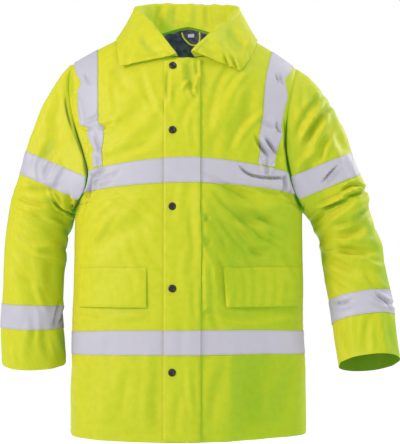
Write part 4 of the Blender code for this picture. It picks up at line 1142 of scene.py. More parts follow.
@dataclass(frozen=True)
class Thread:
    """Spun polyester sewing thread, twisted, so it looks a little lighter than the cloth."""

    name: str
    colour: str
    # painted glow like the cloth's: a fixed emission that does not follow the lamps
    glow: str = "#000000"
    glow_strength: float = 0.0
    roughness: float = 0.6
    twist_scale: float = 900.0   # a turn of the twist every 0.35 mm

    def make(self) -> bpy.types.Material:
        """Makes the material.

        Returns:
            The material.
        """
        made, tree, surface = new_material(self.name, self.colour)
        place = add_node(tree, "TexCoord").outputs["Object"]
        twist = add_node(tree, "TexWave", {"bands_direction": "DIAGONAL", "Scale": self.twist_scale,
                                           "Vector": place}).outputs["Fac"]
        bump = add_node(tree, "Bump", {"Strength": 0.2, "Distance": 0.0001, "Height": twist})
        fill(surface, {
            "Base Color": linear(self.colour), "Normal": bump.outputs[0], "Roughness": self.roughness,
            "Emission Color": linear(self.glow), "Emission Strength": self.glow_strength})
        return made


@dataclass(frozen=True)
class PaintedFloor:
    """Matt white studio floor of opal acrylic, lit from below.

    It turns shadowless white in the distance. Near the jacket its glow is only seen, so the floor
    stays pale there and throws little light up at the cloth.
    """

    name: str = "opal_acrylic_floor"
    colour: str = "#E6E6E6"
    cloudy_colour: str = "#E2E2E2"
    glow_colour: str = "#FAFAFA"
    cloud_scale: float = 0.8
    roughness: float = 0.9
    glow: float = 0.95
    near_glow: float = 0.55
    glow_from: float = 2.2
    glow_full: float = 3.3

    def make(self) -> bpy.types.Material:
        """Makes the material.

        Returns:
            The material.
        """
        made, tree, surface = new_material(self.name, self.colour)
        place = add_node(tree, "TexCoord").outputs["Object"]
        cloud = add_node(tree, "TexNoise", {"Scale": self.cloud_scale, "Detail": 2.0, "Vector": place})
        tone = add_node(tree, "ValToRGB", {"Fac": cloud.outputs["Fac"], "stops": (
            (0.0, self.cloudy_colour), (1.0, self.colour))})
        far = add_node(tree, "VectorMath", {"operation": "LENGTH", 0: place})
        seen = add_node(tree, "LightPath").outputs["Is Camera Ray"]
        near = add_node(tree, "Math", {"operation": "MULTIPLY", 0: seen, 1: self.near_glow})
        glow = add_node(tree, "MapRange", {
            "interpolation_type": "SMOOTHSTEP", "From Min": self.glow_from, "From Max": self.glow_full,
            "To Min": near.outputs[0], "To Max": self.glow, "Value": far.outputs["Value"]})
        fill(surface, {
            "Base Color": tone.outputs[0], "Roughness": self.roughness,
            "Emission Color": linear(self.glow_colour), "Emission Strength": glow.outputs[0]})
        return made


class Wardrobe:
    """The finishes, each made once."""

    def __init__(self) -> None:
        """Makes every material."""
        cloth = OxfordCloth()
        self.shell = cloth.make()
        # The cord's painted glow is stronger and stays on in hollows, so the loop shows bright in the shade of the
        # neck.
        self.cord = OxfordCloth("fluorescent_polyester_cord", "#F0D040", "#E4C238", "#C8E040",
                                glow_strength=0.42, hollow_glow=0.9).make()
        self.tape = BeadTape().make()
        self.lining = SatinLining().make()
        self.enamel = Enamel().make()
        self.thread = Thread("yellow_polyester_thread", "#D8A838", cloth.glow, 0.25).make()
        self.tape_thread = Thread("grey_polyester_thread", "#A9A8B0").make()
        self.floor = PaintedFloor().make()


# ---------------------------------------------------------------- meshes
def distances(grid: Array) -> tuple[Array, Array]:
    """How far each point of a grid lies along its row and along its column, in metres.

    Args:
        grid: The grid of points.

    Returns:
        The distances along the rows and along the columns.
    """
    found = []
    for axis in (1, 0):
        steps = np.linalg.norm(np.diff(grid, axis=axis), axis=-1)
        start = np.zeros_like(grid.take([0], axis)[..., 0])
        found.append(np.concatenate([start, np.cumsum(steps, axis)], axis))
    return found[0], found[1]


def drawn_in(outer: Array, inner: Array, drop: Array) -> Array:
    """A grid moved towards its other side, by a distance for each point."""
    return outer - unit(outer - inner) * drop[..., None]


def edge_distance(grid: Array, edges: str) -> Array:
    """Distance to the nearest of some edges of a grid.

    Args:
        grid: The grid of points.
        edges: Letters of the edges: f and l for the first and last column, b and t for the first
            and last row.

    Returns:
        One distance for each point, large where no edge is named.
    """
    across, along = distances(grid)
    found = {"f": across, "l": across[:, -1:] - across, "b": along, "t": along[-1:] - along}
    return np.minimum.reduce([np.full(across.shape, 9.0)] + [found[edge] for edge in edges])


def quads(rows: int, columns: int, closed: bool) -> Array:
    """Corner numbers of a grid's quads.

    Args:
        rows: Rows of the grid.
        columns: Its columns.
        closed: It runs right round a tube.

    Returns:
        Rows of four numbers.
    """
    start = np.arange(columns if closed else columns - 1)
    end = (start + 1) % columns
    base = np.arange(rows - 1)[:, None] * columns
    corners = [base + start, base + end, base + columns + end, base + columns + start]
    return np.stack(corners, axis=-1).reshape(-1, 4)


def rim_loops(rows: int, columns: int, closed: bool) -> list[Array]:
    """The edges of a grid as loops of point numbers.

    Args:
        rows: Rows of the grid.
        columns: Its columns.
        closed: It runs right round a tube.

    Returns:
        One loop, or two on a tube, each ending where it began.
    """
    bottom, top = np.arange(columns), (rows - 1) * columns + np.arange(columns)
    if closed:
        return [np.append(bottom, bottom[0]), np.append(top, top[0])]
    right = np.arange(1, rows - 1) * columns + columns - 1
    left = np.arange(rows - 2, 0, -1) * columns
    return [np.concatenate([bottom, right, top[::-1], left, bottom[:1]])]


def new_object(name: str, data: bpy.types.ID) -> bpy.types.Object:
    """Puts an object in the scene's collection.

    Args:
        name: Its name.
        data: Its mesh, light or camera.

    Returns:
        The object.
    """
    made = bpy.data.objects.new(name, data)
    bpy.context.scene.collection.objects.link(made)
    return made


def new_piece(name: str, points: Array, faces: Sequence, finish: bpy.types.Material,
              places: Array | None = None) -> bpy.types.Object:
    """A smooth piece in one finish.

    Args:
        name: The piece's name.
        points: Its points, in a grid of any shape.
        faces: Numbers of each face's points.
        finish: The finish.
        places: Where each point lies on the flat cloth, for the finish.

    Returns:
        The object.
    """
    data = bpy.data.meshes.new(name)
    data.from_pydata(points.reshape(-1, 3).tolist(), [], faces)
    data.materials.append(finish)
    if places is not None:
        marks = data.attributes.new("cloth", "FLOAT_VECTOR", "POINT")
        marks.data.foreach_set("vector", places.ravel())
    data.shade_smooth()
    return new_object(name, data)


def cloth_piece(name: str, outer: Array, inner: Array, finish: bpy.types.Material, closed: bool = False,
                shade: Array | None = None, inner_shade: float = 0.0) -> bpy.types.Object:
    """A cloth piece between its outer and inner grids, closed along its edges.

    Args:
        name: The piece's name.
        outer: Grid of the outer side.
        inner: Grid of the inner side.
        finish: The finish.
        closed: The grid runs right round a tube.
        shade: How much painted shade each point of the grid carries, from 0 to 1.
        inner_shade: The least painted shade on the inner side, from 0 to 1.

    Returns:
        The object.
    """
    rows, columns = outer.shape[:2]
    count = rows * columns
    faces = quads(rows, columns, closed)
    first = np.cross(outer[:-1, 1:] - outer[:-1, :-1], outer[1:, :-1] - outer[:-1, :-1])
    outward = np.sum(first * (outer - inner)[:-1, :-1]) > 0
    if not outward:
        faces = faces[:, [0, 3, 2, 1]]
    rims = [np.stack([loop[:-1], count + loop[:-1], count + loop[1:], loop[1:]], axis=-1)
            for loop in rim_loops(rows, columns, closed)]
    if closed:
        rims[1] = rims[1][:, ::-1]
    rims = [edge if outward else edge[:, ::-1] for edge in rims]
    whole = np.concatenate([faces, count + faces[:, [0, 3, 2, 1]]] + rims)
    across, along = distances(outer)
    place = stacked(across, along, 0.0)
    piece = new_piece(name, np.stack([outer, inner]), whole.tolist(), finish, np.stack([place, place]))
    if shade is not None:
        marks = piece.data.attributes.new("shade", "FLOAT", "POINT")
        marks.data.foreach_set("value", np.stack([shade, np.maximum(shade, inner_shade)]).ravel())
    piece.data.set_sharp_from_angle(angle=SHARP_EDGE)
    piece.data.update()
    return piece


def register(piece: bpy.types.Object, slot: Slot, *nodes: str) -> bpy.types.Object:
    """Rides a piece on the jacket and names what it stands for.

    Args:
        piece: The piece.
        slot: The record's slot of its finish.
        *nodes: The CAD nodes that it replaces.

    Returns:
        The piece.
    """
    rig.ride(piece, "root")
    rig.slot(piece, slot.value)
    if nodes:
        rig.replaces(piece, *nodes)
    LOG.info("%s: %d faces, stands for %s", piece.name, len(piece.data.polygons),
             ", ".join(nodes) or "no node")
    return piece


@dataclass(frozen=True)
class StitchRun:
    """A row of stitches along points on the cloth, with the way the cloth faces."""

    points: Array
    normals: Array


@dataclass(frozen=True)
class Stitcher:
    """Sews rows of lock stitches: each shows as a short bead of thread that dips at both ends."""

    length: float = 0.0030
    pitch: float = 0.0043
    radius: float = 0.00042      # thread is 0.3 mm thick, drawn thicker to show
    lift: float = 0.0001

    def sew(self, name: str, runs: Sequence[StitchRun], thread: bpy.types.Material,
            slot: Slot) -> bpy.types.Object:
        """Makes the stitches of some runs as one piece.

        Args:
            name: The piece's name.
            runs: The rows.
            thread: The thread's finish.
            slot: The record's slot.

        Returns:
            The piece.
        """
        corners = []
        for run in runs:
            travel = path_lengths(run.points)
            places = np.arange(self.pitch, travel[-1] - self.pitch / 2, self.pitch)
            start, end = (along_path(places + offset, travel, run.points)
                          for offset in (-self.length / 2, self.length / 2))
            facing = unit(along_path(places, travel, run.normals))
            sideways = np.cross(unit(end - start), facing) * self.radius
            middle, thick = (start + end) / 2 + facing * self.lift, facing * self.radius
            corners.append(np.stack([start - facing * self.lift, middle + thick, middle + sideways,
                                     middle - thick, middle - sideways, end - facing * self.lift], axis=1))
        points = np.concatenate(corners)
        fan = np.array([(0, 1, 2), (0, 2, 3), (0, 3, 4), (0, 4, 1),
                        (5, 2, 1), (5, 3, 2), (5, 4, 3), (5, 1, 4)])
        faces = (fan[None] + 6 * np.arange(len(points))[:, None, None]).reshape(-1, 3)
        return register(new_piece(name, points, faces.tolist(), thread), slot)


# ---------------------------------------------------------------- dressed surfaces
# Column, row, degrees below level, half length, half width, height in mm, bow.
BODY_CREASES = Chart(
    front=(
        (250, 238, 82, 84, 26, -4.5, 4), (206, 236, 88, 60, 8, 2.0, 1), (262, 396, 88, 46, 24, -4.0, 2),
        (108, 92, 84, 20, 3.5, 0.8, 1), (120, 78, 60, 14, 5, -0.8, 2), (106, 125, -24, 8, 2.6, -2.0, 1),
        (112, 121, -30, 9, 3.0, 1.0, 1), (136, 112, -52, 22, 8, -1.2, 3), (150, 132, -50, 18, 7, -1.0, 2),
        (126, 136, -40, 14, 5, 0.8, 1), (95, 184, 112, 7, 2.6, -2.2, 1), (90, 186, 100, 10, 1.5, -3.0, 1),
        (86, 190, 88, 9, 1.5, 2.0, 0), (97, 174, -30, 8, 2.2, -2.0, 1), (104, 181, -22, 9, 2.2, 1.2, 1),
        (112, 176, -26, 8, 2.4, -0.9, 1), (84, 203, 110, 12, 2.4, -1.6, 1), (100, 214, 132, 20, 6, 1.6, 3),
        (112, 238, 142, 26, 8, -1.6, 3), (96, 262, 100, 20, 6, 1.0, 2), (140, 222, 120, 24, 9, -1.0, 3),
        (206, 218, -58, 5, 2.2, -1.4, 1), (210, 222, 52, 12, 3.0, -1.4, 1),
        (206, 243, -62, 5, 2.2, -1.2, 1), (213, 254, 62, 18, 3.2, -1.6, 2),
        (207, 312, -38, 5, 2.2, -1.2, 1), (214, 318, 66, 12, 3.2, -1.4, 2), (205, 286, 88, 26, 3.0, 1.2, 1),
        (233, 200, 28, 26, 4.2, 2.4, 3), (240, 192, 24, 18, 3.4, -2.0, 2), (228, 216, 44, 28, 4.0, 2.2, 3),
        (222, 211, 40, 24, 3.2, -1.8, 2), (256, 219, 8, 20, 6.0, -3.2, 2), (272, 227, 30, 18, 2.8, 1.8, 1),
        (252, 237, 46, 20, 3.6, 2.0, 2), (262, 252, 4, 9, 3.6, -2.2, 1), (233, 254, 50, 17, 3.2, 1.5, 2),
        (227, 248, 52, 15, 2.8, -1.5, 2), (247, 263, 60, 12, 3.4, 1.0, 1), (280, 246, 70, 26, 5.0, -1.4, 2),
        (221, 284, 84, 22, 3.2, -1.2, 1), (215, 276, 80, 26, 3.4, 1.4, 1),
        (249, 172, 30, 11, 1.3, -2.4, 2.6), (268, 177.5, 4, 16, 1.3, -2.6, 1.6),
        (262, 181, 14, 20, 4.0, 1.6, 2), (284, 184, 100, 9, 1.8, -2.6, 1), (289, 187, 84, 9, 1.5, -1.8, 1),
        (286.5, 186, 92, 8, 1.2, 1.6, 0), (276, 192, 12, 14, 3.4, -1.4, 1),
        (292, 200, 60, 10, 3.0, -2.4, 1), (283, 206, 14, 16, 5.0, 1.2, 1), (262, 146, 56, 11, 1.7, -2.8, 1),
        (271, 146, 58, 9, 1.5, -2.8, 1), (266.5, 146, 57, 9, 1.8, 2.2, 1), (278, 127, 72, 6, 1.3, -2.2, 1),
        (278, 78, 68, 5, 1.1, -1.6, 0.5), (281.5, 79, 72, 6, 1.1, -1.4, 0.5),
        (268, 124, 30, 9, 2.6, -1.4, 1), (268, 165, 90, 9, 1.5, -1.4, 0), (263, 168, 80, 8, 1.6, 1.2, 0),
        (272, 170, 112, 7, 1.4, 1.2, 0), (240, 130, 118, 24, 7, -1.6, 3), (228, 108, 124, 26, 8, 1.4, 3),
        (250, 104, 96, 22, 6, -1.2, 2), (216, 142, 110, 16, 6, -1.0, 2), (287, 142, 94, 22, 2.4, -1.6, 2),
        (283, 150, 88, 20, 3.0, 1.2, 1), (86, 78, 62, 7, 1.4, -1.0, 0.5), (93, 118, -30, 8, 2.2, -1.2, 1),
        (86, 128, 10, 6, 2.0, -1.4, 1), (98, 145, 70, 12, 1.8, -1.4, 1), (96, 160, 84, 10, 1.8, 1.0, 0),
        (146, 88, 66, 18, 4.0, -1.0, 2), (158, 104, 60, 22, 3.4, 0.9, 2), (110, 150, -16, 22, 4.0, 0.9, 2),
        (132, 148, -12, 20, 3.6, -0.9, 2), (90, 232, 118, 20, 3.6, -1.2, 2),
        (103, 228, 124, 22, 3.2, 1.2, 2), (128, 205, 30, 24, 4.0, -0.9, 2), (150, 214, 40, 24, 4.4, 0.9, 3),
        (150, 250, 62, 26, 4.6, -0.9, 3), (132, 262, 66, 22, 4.0, 0.8, 2), (110, 356, 80, 20, 5.0, -0.8, 2),
        (150, 372, 84, 22, 5.0, 0.8, 2), (222, 78, 118, 18, 3.6, -1.0, 2), (236, 86, 124, 20, 3.4, 1.0, 2),
        (212, 112, 100, 20, 4.0, -0.9, 2), (248, 128, 128, 22, 3.4, 1.1, 3),
        (220, 182, 20, 24, 3.2, -0.8, 2), (246, 206, 34, 26, 2.6, -1.6, 2),
        (262, 234, 36, 22, 2.4, -1.6, 2), (232, 236, 48, 22, 2.4, -1.3, 2), (284, 262, 74, 24, 3.6, 1.2, 2),
        (270, 360, 84, 20, 5.0, -1.0, 2), (232, 366, 92, 22, 5.0, 1.0, 2), (76, 108, 76, 22, 2.4, 1.8, -2),
        (80, 140, 68, 18, 2.2, 1.6, -1), (85, 166, 84, 11, 3.2, -4.0, 0.5), (92, 156, 76, 12, 2.4, 1.4, 0),
        (69, 84, 84, 12, 3.0, -1.6, 0), (88, 388, 96, 24, 6, -1.8, 2), (104, 402, 88, 26, 6, 1.6, -2),
        (124, 396, 94, 24, 6, -1.6, 2), (146, 402, 86, 22, 6, 1.4, 1), (216, 398, 96, 26, 6, -1.8, 2),
        (232, 404, 88, 24, 5, 1.6, -1), (250, 396, 94, 26, 6, -1.8, 2), (270, 398, 90, 22, 6, 1.4, 1),
        (288, 390, 96, 22, 5, -1.6, 2), (90, 318, 8, 14, 3.6, -1.2, 1), (128, 316, -6, 18, 4.0, 0.9, 1),
        (240, 317, 8, 24, 3.6, -1.2, 1), (280, 320, -10, 16, 4.0, 1.0, 1)),
    back=(
        (100, 150, 118, 22, 5, -2.0, 2), (112, 165, 124, 24, 5, 1.6, 2), (276, 150, 62, 22, 5, -2.0, 2),
        (264, 166, 56, 24, 5, 1.6, 2), (88, 190, 100, 10, 2.0, -2.4, 1), (94, 186, 92, 9, 1.8, 1.6, 1),
        (288, 190, 80, 10, 2.0, -2.4, 1), (282, 186, 88, 9, 1.8, 1.6, 1), (150, 120, 80, 30, 8, -1.4, 3),
        (226, 124, 100, 30, 8, -1.4, 3), (188, 140, 90, 34, 7, 1.2, 2), (120, 214, 40, 26, 5, 1.8, 3),
        (132, 236, 46, 28, 5, -1.8, 3), (256, 212, 140, 26, 5, 1.8, 3), (244, 238, 134, 28, 5, -1.8, 3),
        (160, 262, 20, 26, 6, 1.4, 3), (218, 268, 162, 26, 6, -1.4, 3), (188, 300, 0, 34, 6, 1.4, 3),
        (98, 284, 70, 22, 5, 1.2, 2), (280, 288, 110, 22, 5, -1.2, 2), (96, 396, 96, 24, 6, -1.8, 2),
        (120, 402, 88, 26, 6, 1.6, -2), (146, 396, 94, 24, 6, -1.6, 2), (172, 402, 86, 22, 6, 1.4, 1),
        (200, 398, 96, 26, 6, -1.8, 2), (226, 404, 88, 24, 5, 1.6, -1), (252, 396, 94, 26, 6, -1.8, 2),
        (280, 398, 90, 22, 6, 1.4, 1), (140, 62, 20, 20, 4, -1.2, 2), (238, 62, 160, 20, 4, -1.2, 2)))
RIGHT_SLEEVE_CREASES = Chart(
    front=(
        (34, 148, 112, 16, 3.2, -1.4, 2), (50, 164, 120, 14, 3.0, -1.6, 2), (56, 176, 118, 12, 2.6, 1.2, 1),
        (30, 202, 18, 14, 2.2, -1.8, 2), (48, 222, 28, 18, 2.4, -1.8, 2), (24, 214, 26, 12, 2.2, 1.4, 1),
        (30, 240, 20, 16, 2.6, -1.6, 2), (48, 258, 12, 16, 2.4, 1.4, 2), (24, 276, 40, 16, 3.0, -1.4, 2),
        (40, 296, 68, 16, 3.0, 1.2, 1), (34, 324, 88, 14, 3.0, -1.0, 1), (14, 350, 84, 12, 3.0, 1.0, 1),
        (46, 150, 118, 18, 7, -1.8, 3), (40, 120, 112, 24, 8, 1.0, 3), (58, 132, 76, 22, 6, -1.2, 2),
        (66, 100, 84, 24, 4, 1.2, 2), (42, 187, 4, 16, 3.2, -2.2, 2), (36, 196, 12, 20, 3.4, 1.6, 2),
        (62, 207, 40, 17, 1.7, -3.4, 4.5), (59, 201, 34, 15, 2.4, 2.4, 4), (70, 203, 62, 9, 3.0, -3.6, 1),
        (68, 214, 6, 11, 1.6, -2.2, 1), (40, 214, 20, 22, 4.0, -1.4, 3), (30, 226, 24, 20, 4.4, 1.4, 3),
        (52, 230, 16, 20, 4.0, -2.0, 2), (44, 243, 20, 24, 4.2, 1.6, 3), (56, 250, -12, 16, 3.4, -1.6, 2),
        (26, 256, 28, 18, 4.2, -1.2, 2), (38, 268, 76, 18, 5.0, 1.0, 2), (52, 276, 92, 20, 5, -1.4, 2),
        (57.5, 311, 106, 11, 1.3, -2.0, 0.5), (60, 312, 106, 11, 1.4, 1.6, 0.5),
        (30, 312, 92, 10, 4, -0.8, 1), (20, 290, 60, 18, 5, 1.0, 2), (46, 340, 80, 16, 4, -1.4, 2),
        (26, 342, 96, 16, 4.5, 1.2, 2), (12, 336, 84, 18, 4, -1.0, 1), (60, 344, 70, 14, 3, 1.2, 1),
        (38, 172, 80, 12, 2.0, -0.6, 1)),
    back=(
        (50, 108, 100, 22, 5, -2.0, 3), (62, 120, 92, 22, 5, 1.6, 2), (60, 205, 150, 18, 2.6, -2.8, 4),
        (54, 214, 154, 18, 3.2, 2.0, 3), (40, 236, 12, 22, 4, -2.2, 3), (44, 250, 160, 22, 4, 1.8, 3),
        (34, 270, 14, 20, 4, -1.6, 2), (44, 290, 84, 20, 5, 1.2, 2), (30, 340, 96, 16, 4, -1.4, 2),
        (52, 338, 84, 16, 4, 1.2, 2)))
LEFT_SLEEVE_CREASES = Chart(
    front=(
        (306, 116, 122, 26, 3.2, -3.6, 3), (301, 126, 118, 20, 3.0, 1.8, 2),
        (317, 122, 126, 22, 3.0, -3.4, 2), (311, 124, 124, 20, 2.8, 3.0, 2),
        (326, 141, 116, 18, 3.4, -3.2, 2), (320, 134, 120, 20, 3.2, 2.4, 2),
        (333, 112, 60, 18, 4.4, -1.4, 2), (340, 136, 66, 22, 5.0, -1.8, 2), (303, 90, 88, 12, 2.6, -2.0, 1),
        (297, 100, 84, 24, 3.4, 2.2, 3), (308, 158, 140, 16, 3.4, 1.8, 2), (313, 86, 56, 16, 3.4, 1.2, 1),
        (330, 174, 132, 11, 1.2, -1.8, 0.5), (332, 175, 132, 11, 1.6, 1.2, 0.5),
        (357, 164, 74, 12, 2.4, -1.8, 1), (349, 161, 74, 12, 2.6, 0.8, 1),
        (350, 186, -24, 8, 1.7, -3.0, -1), (362, 187, 24, 6, 1.6, -2.6, -1),
        (354, 194, -12, 14, 1.8, -2.8, 1.5), (354, 190, -18, 9, 2.0, 2.6, 0),
        (336, 200, -26, 20, 2.2, 2.8, 1), (334, 204.5, -22, 15, 1.4, -3.0, 1),
        (361, 214, -34, 8, 2.6, -2.8, 1), (344, 212, -32, 20, 3.2, 2.2, 2),
        (350, 221, -18, 14, 2.8, -2.0, 2), (318, 217, -36, 10, 2.4, -2.4, 1),
        (326, 226, -28, 18, 3.6, 2.0, 2), (342, 234, -14, 20, 3.4, -2.2, 3),
        (366, 232, -60, 12, 3.2, 1.4, 2), (334, 246, -4, 18, 3.8, 2.0, 3), (352, 250, 14, 20, 3.4, -2.4, 3),
        (368, 262, 30, 14, 3.4, 1.6, 2), (340, 264, 22, 22, 3.6, -1.8, 3), (348, 276, 28, 22, 3.8, 1.6, 3),
        (336, 284, 40, 16, 3.0, -1.6, 2), (374, 284, 46, 14, 3.0, -1.6, 2),
        (343, 302, -12, 9, 1.6, -1.6, 1), (344, 307, -6, 9, 1.8, 1.2, 1), (383, 299, 36, 11, 1.6, -2.6, 1),
        (378, 304, 28, 9, 1.5, 1.6, 1), (388, 306, 60, 8, 1.4, -1.6, 0), (352, 334, 84, 18, 4, 1.4, 2),
        (366, 336, 92, 18, 3.6, -1.6, 2), (382, 332, 80, 20, 4, 1.2, 2), (342, 344, 74, 14, 3, -1.2, 1)),
    back=(
        (320, 110, 76, 24, 5, -2.4, 3), (308, 122, 84, 22, 5, 1.8, 2), (330, 200, 30, 18, 2.8, -2.8, 4),
        (338, 208, 26, 18, 3.2, 2.2, 3), (352, 230, 168, 22, 4, -2.4, 3), (346, 246, 12, 22, 4, 1.8, 3),
        (360, 266, 160, 20, 4, -1.8, 2), (356, 290, 96, 20, 5, 1.2, 2), (376, 338, 86, 16, 4, -1.4, 2),
        (356, 340, 96, 16, 4, 1.2, 2)))
# Painted shade: darkening in the seams and deep folds, and broad shade over parts of the sleeves and of the wearer's
# left front, with strengths for heights.
PAINTED_SHADE = Chart(front=(
    (67, 113, 77, 18, 1.5, 0.9, 1.5), (69, 84, 84, 12, 4.0, 0.3, 0), (85, 167, 82, 10, 2.8, 0.8, 0),
    (78, 145, 69, 14, 1.3, 0.65, 0), (84, 187, 102, 9, 1.8, 0.75, 0), (77, 204, 104, 9, 4.2, 0.8, 0),
    (285, 133, 89, 14, 1.3, 0.75, 0), (289, 166, 79, 24, 1.7, 0.95, 0), (298, 202, 68, 10, 2.4, 0.95, 0),
    (48, 150, 118, 12, 6.0, 0.26, 0), (42, 188, 4, 15, 2.4, 0.3, 0), (61, 208, 34, 16, 1.2, 0.6, 3),
    (336, 104, 60, 22, 7.0, 0.2, 0), (303, 118, 118, 20, 2.0, 0.3, 1), (318, 122, 124, 18, 2.0, 0.3, 1),
    (166.5, 86, 92, 12, 1.6, 0.34, 0), (190, 76, 96, 13, 3.4, 0.26, 0), (235, 38, 60, 14, 6.0, 0.24, 2),
    (176, 16, 88, 12, 3.0, 0.2, 1), (208, 18, 84, 12, 3.0, 0.22, 1), (162, 24, 60, 8, 4.0, 0.24, 0),
    (190, 27, 4, 26, 3.0, 0.2, 0), (246, 50, 110, 14, 2.0, 0.18, 0), (146, 46, 52, 12, 3.4, 0.16, 1),
    (188, 70, 94, 12, 5.0, 0.16, 0), (46, 132, 118, 8, 2.0, 0.16, 0), (333, 204, -22, 13, 1.2, 0.55, 1),
    (354, 194, -12, 12, 1.6, 0.4, 1), (361, 214, -34, 7, 2.4, 0.35, 1), (205, 217, 60, 5, 1.6, 0.4, 0),
    (205, 243, 80, 9, 1.4, 0.35, 0), (64, 262, 92, 46, 9, 0.34, 0), (63, 345, 90, 18, 8, 0.3, 0),
    (371, 232, 68, 26, 5, 0.3, 0), (388, 285, 72, 26, 6, 0.32, 0), (327, 275, 80, 24, 4, 0.2, 0),
    (393, 340, 80, 22, 7, 0.26, 0), (322, 106, 56, 22, 8, 0.24, 0), (255, 240, 88, 36, 34, 0.16, 0),
    (258, 388, 88, 40, 36, 0.18, 0), (270, 222, 24, 22, 5, 0.14, 2), (232, 262, 62, 28, 4, 0.12, 2),
    (42, 158, 118, 14, 5, 0.14, 0)))
COLLAR_CREASES = Chart(
    front=(
        (158, 18, 96, 13, 3.0, -1.6, 1), (166, 16, 92, 12, 2.8, 1.2, 1), (176, 16, 88, 12, 3.2, -1.8, 1),
        (190, 15, 92, 12, 4.0, 1.4, 1), (208, 15, 86, 13, 3.4, -2.0, 1), (216, 18, 80, 12, 2.8, 1.2, 1),
        (224, 14, 76, 10, 2.6, -1.4, 1), (235, 38, 60, 15, 7.0, -2.6, 3), (218, 46, 62, 14, 4.0, 1.4, 2),
        (226, 60, 62, 6, 1.3, -1.5, 0.5), (230, 61, 64, 7, 1.3, 1.2, 0.5), (234, 62, 66, 7, 1.2, -1.4, 0.5),
        (238, 63, 66, 6, 1.2, 1.2, 0.5), (246, 52, 100, 12, 2.2, 1.2, 1), (210, 52, 30, 9, 2.0, -1.2, 1),
        (138, 40, 104, 18, 6.0, 1.4, 3), (150, 44, 50, 14, 4.0, -1.4, 2), (128, 52, 100, 12, 2.6, -1.0, 1),
        (150, 55, -10, 14, 2.2, -0.9, 1)),
    back=(
        (150, 20, 100, 14, 4, -1.4, 2), (188, 18, 90, 16, 5, 1.2, 2), (226, 20, 80, 14, 4, -1.4, 2)))
LINING_CREASES = Chart(
    front=(
        (172, 38, 52, 14, 3.2, -2.6, 2), (180, 40, 56, 16, 2.6, 2.2, 2), (186, 48, 62, 12, 2.6, -2.4, 1),
        (196, 50, 118, 11, 2.6, 2.0, 1), (204, 42, 112, 13, 2.8, -2.4, 2), (164, 34, 40, 9, 2.4, 1.6, 1),
        (210, 36, 100, 9, 2.2, 1.6, 1), (190, 34, 10, 12, 2.4, -1.6, 1)),
    back=())


@dataclass(frozen=True)
class BodyCloth:
    """Cloth that lies on the body: its form, its creases and how it is drawn in at the seams."""

    form: BodyForm = BodyForm()
    creases: Chart = BODY_CREASES
    fade: float = 0.009
    swell: float = 0.0006
    swell_size: float = 0.075
    pucker: float = 0.0004
    pucker_pitch: float = 0.017
    pucker_width: float = 0.012
    hem_wave: float = 0.0022
    hem_reach: float = 0.03

    def seam_gap(self, face: Face, side: Side, points: Array, rise: Array) -> Array:
        """Distance to the nearest of the armhole, shoulder and side seams.

        Args:
            face: Front or back.
            side: Right or left.
            points: Points of the cloth.
            rise: Their rises.

        Returns:
            The distances.
        """
        out = np.abs(points[..., 0])
        armhole = self.form.armhole(face, side).read("out", np.clip(rise, 0, 1)) - out
        shoulder = (1 - rise) * 0.3 + np.clip(self.form.neck_half - out, 0, 1)
        return np.clip(np.where(rise > 0, np.minimum(armhole, shoulder), np.abs(points[..., 1])), 0, 1)

    def height(self, face: Face, side: Side, points: Array, normals: Array, rise: Array) -> Array:
        """Height of all small shapes over the form.

        Args:
            face: Front or back.
            side: Right or left.
            points: Points of the form.
            normals: The way it faces there.
            rise: Rises of the points.

        Returns:
            Heights along the normals.
        """
        gap = self.seam_gap(face, side, points, rise)
        small = self.creases.lift(points, normals) + self.swell * rumple(points, self.swell_size, 11)
        run = points[..., 2] * 2 * np.pi / self.pucker_pitch + 1.3 * rumple(points, 0.04, 5)
        pucker = self.pucker * np.sin(run) * bell(gap, self.pucker_width)
        low = ease(points[..., 2], self.form.hem_z + self.hem_reach, self.form.hem_z)
        wave = self.hem_wave * low * rumple(points * (1.0, 1.0, 0.0), 0.05, 8)
        return (small + pucker + wave) * ease(gap, 0, self.fade)

    def at(self, face: Face, side: Side, turn: Array, rise: Array, lift: Array | float = 0.0) -> Array:
        """Points of the cloth at turns and rises.

        Args:
            face: Front or back.
            side: Right or left.
            turn: Turns.
            rise: Rises.
            lift: Distance off the cloth.

        Returns:
            The points.
        """
        points, normals = self.form.point(face, side, turn, rise), self.form.normal(face, side, turn, rise)
        height = self.height(face, side, points, normals, rise)
        return points + normals * (height + lift)[..., None]

    def over(self, face: Face, x: Array, rise: Array, lift: Array | float = 0.0) -> Array:
        """Points of the cloth at distances across and rises.

        Args:
            face: Front or back.
            x: Distances from the centre, to the wearer's left.
            rise: Rises.
            lift: Distance off the cloth.

        Returns:
            The points.
        """
        x, rise, lift = (np.asarray(part, float) for part in np.broadcast_arrays(x, rise, lift))
        points = np.empty(x.shape + (3,))
        for side in Side:
            own = (x < 0) == (side == Side.RIGHT)
            points[own] = self.at(face, side, self.form.turn_of(x[own], rise[own]), rise[own], lift[own])
        return points

    def half(self, face: Face, side: Side, rows: Array, shares: Array, lift: Array | float = 0.0) -> Array:
        """One side of a face.

        Args:
            face: Front or back.
            side: Right or left.
            rows: Rows up the panel, as rises at its side.
            shares: Shares of the way from the centre to the side.
            lift: Distance off the cloth.

        Returns:
            The grid, rows up it.
        """
        turns, rises = self.form.places(face, side, rows, shares)
        rises = np.broadcast_to(rises, turns.shape)
        return self.at(face, side, turns, rises, np.broadcast_to(lift, turns.shape))

    def whole(self, rows: Array, shares: Array, lift: Array | float = 0.0) -> Array:
        """The whole back.

        Args:
            rows: Rows up the panel, as rises at its side.
            shares: Shares of the way from the centre to each side.
            lift: Distance off the cloth.

        Returns:
            The grid, from the right side to the left.
        """
        right = self.half(Face.BACK, Side.RIGHT, rows, shares, lift)
        left = self.half(Face.BACK, Side.LEFT, rows, shares, lift)
        return np.concatenate([right[:, ::-1], left[:, 1:]], axis=1)


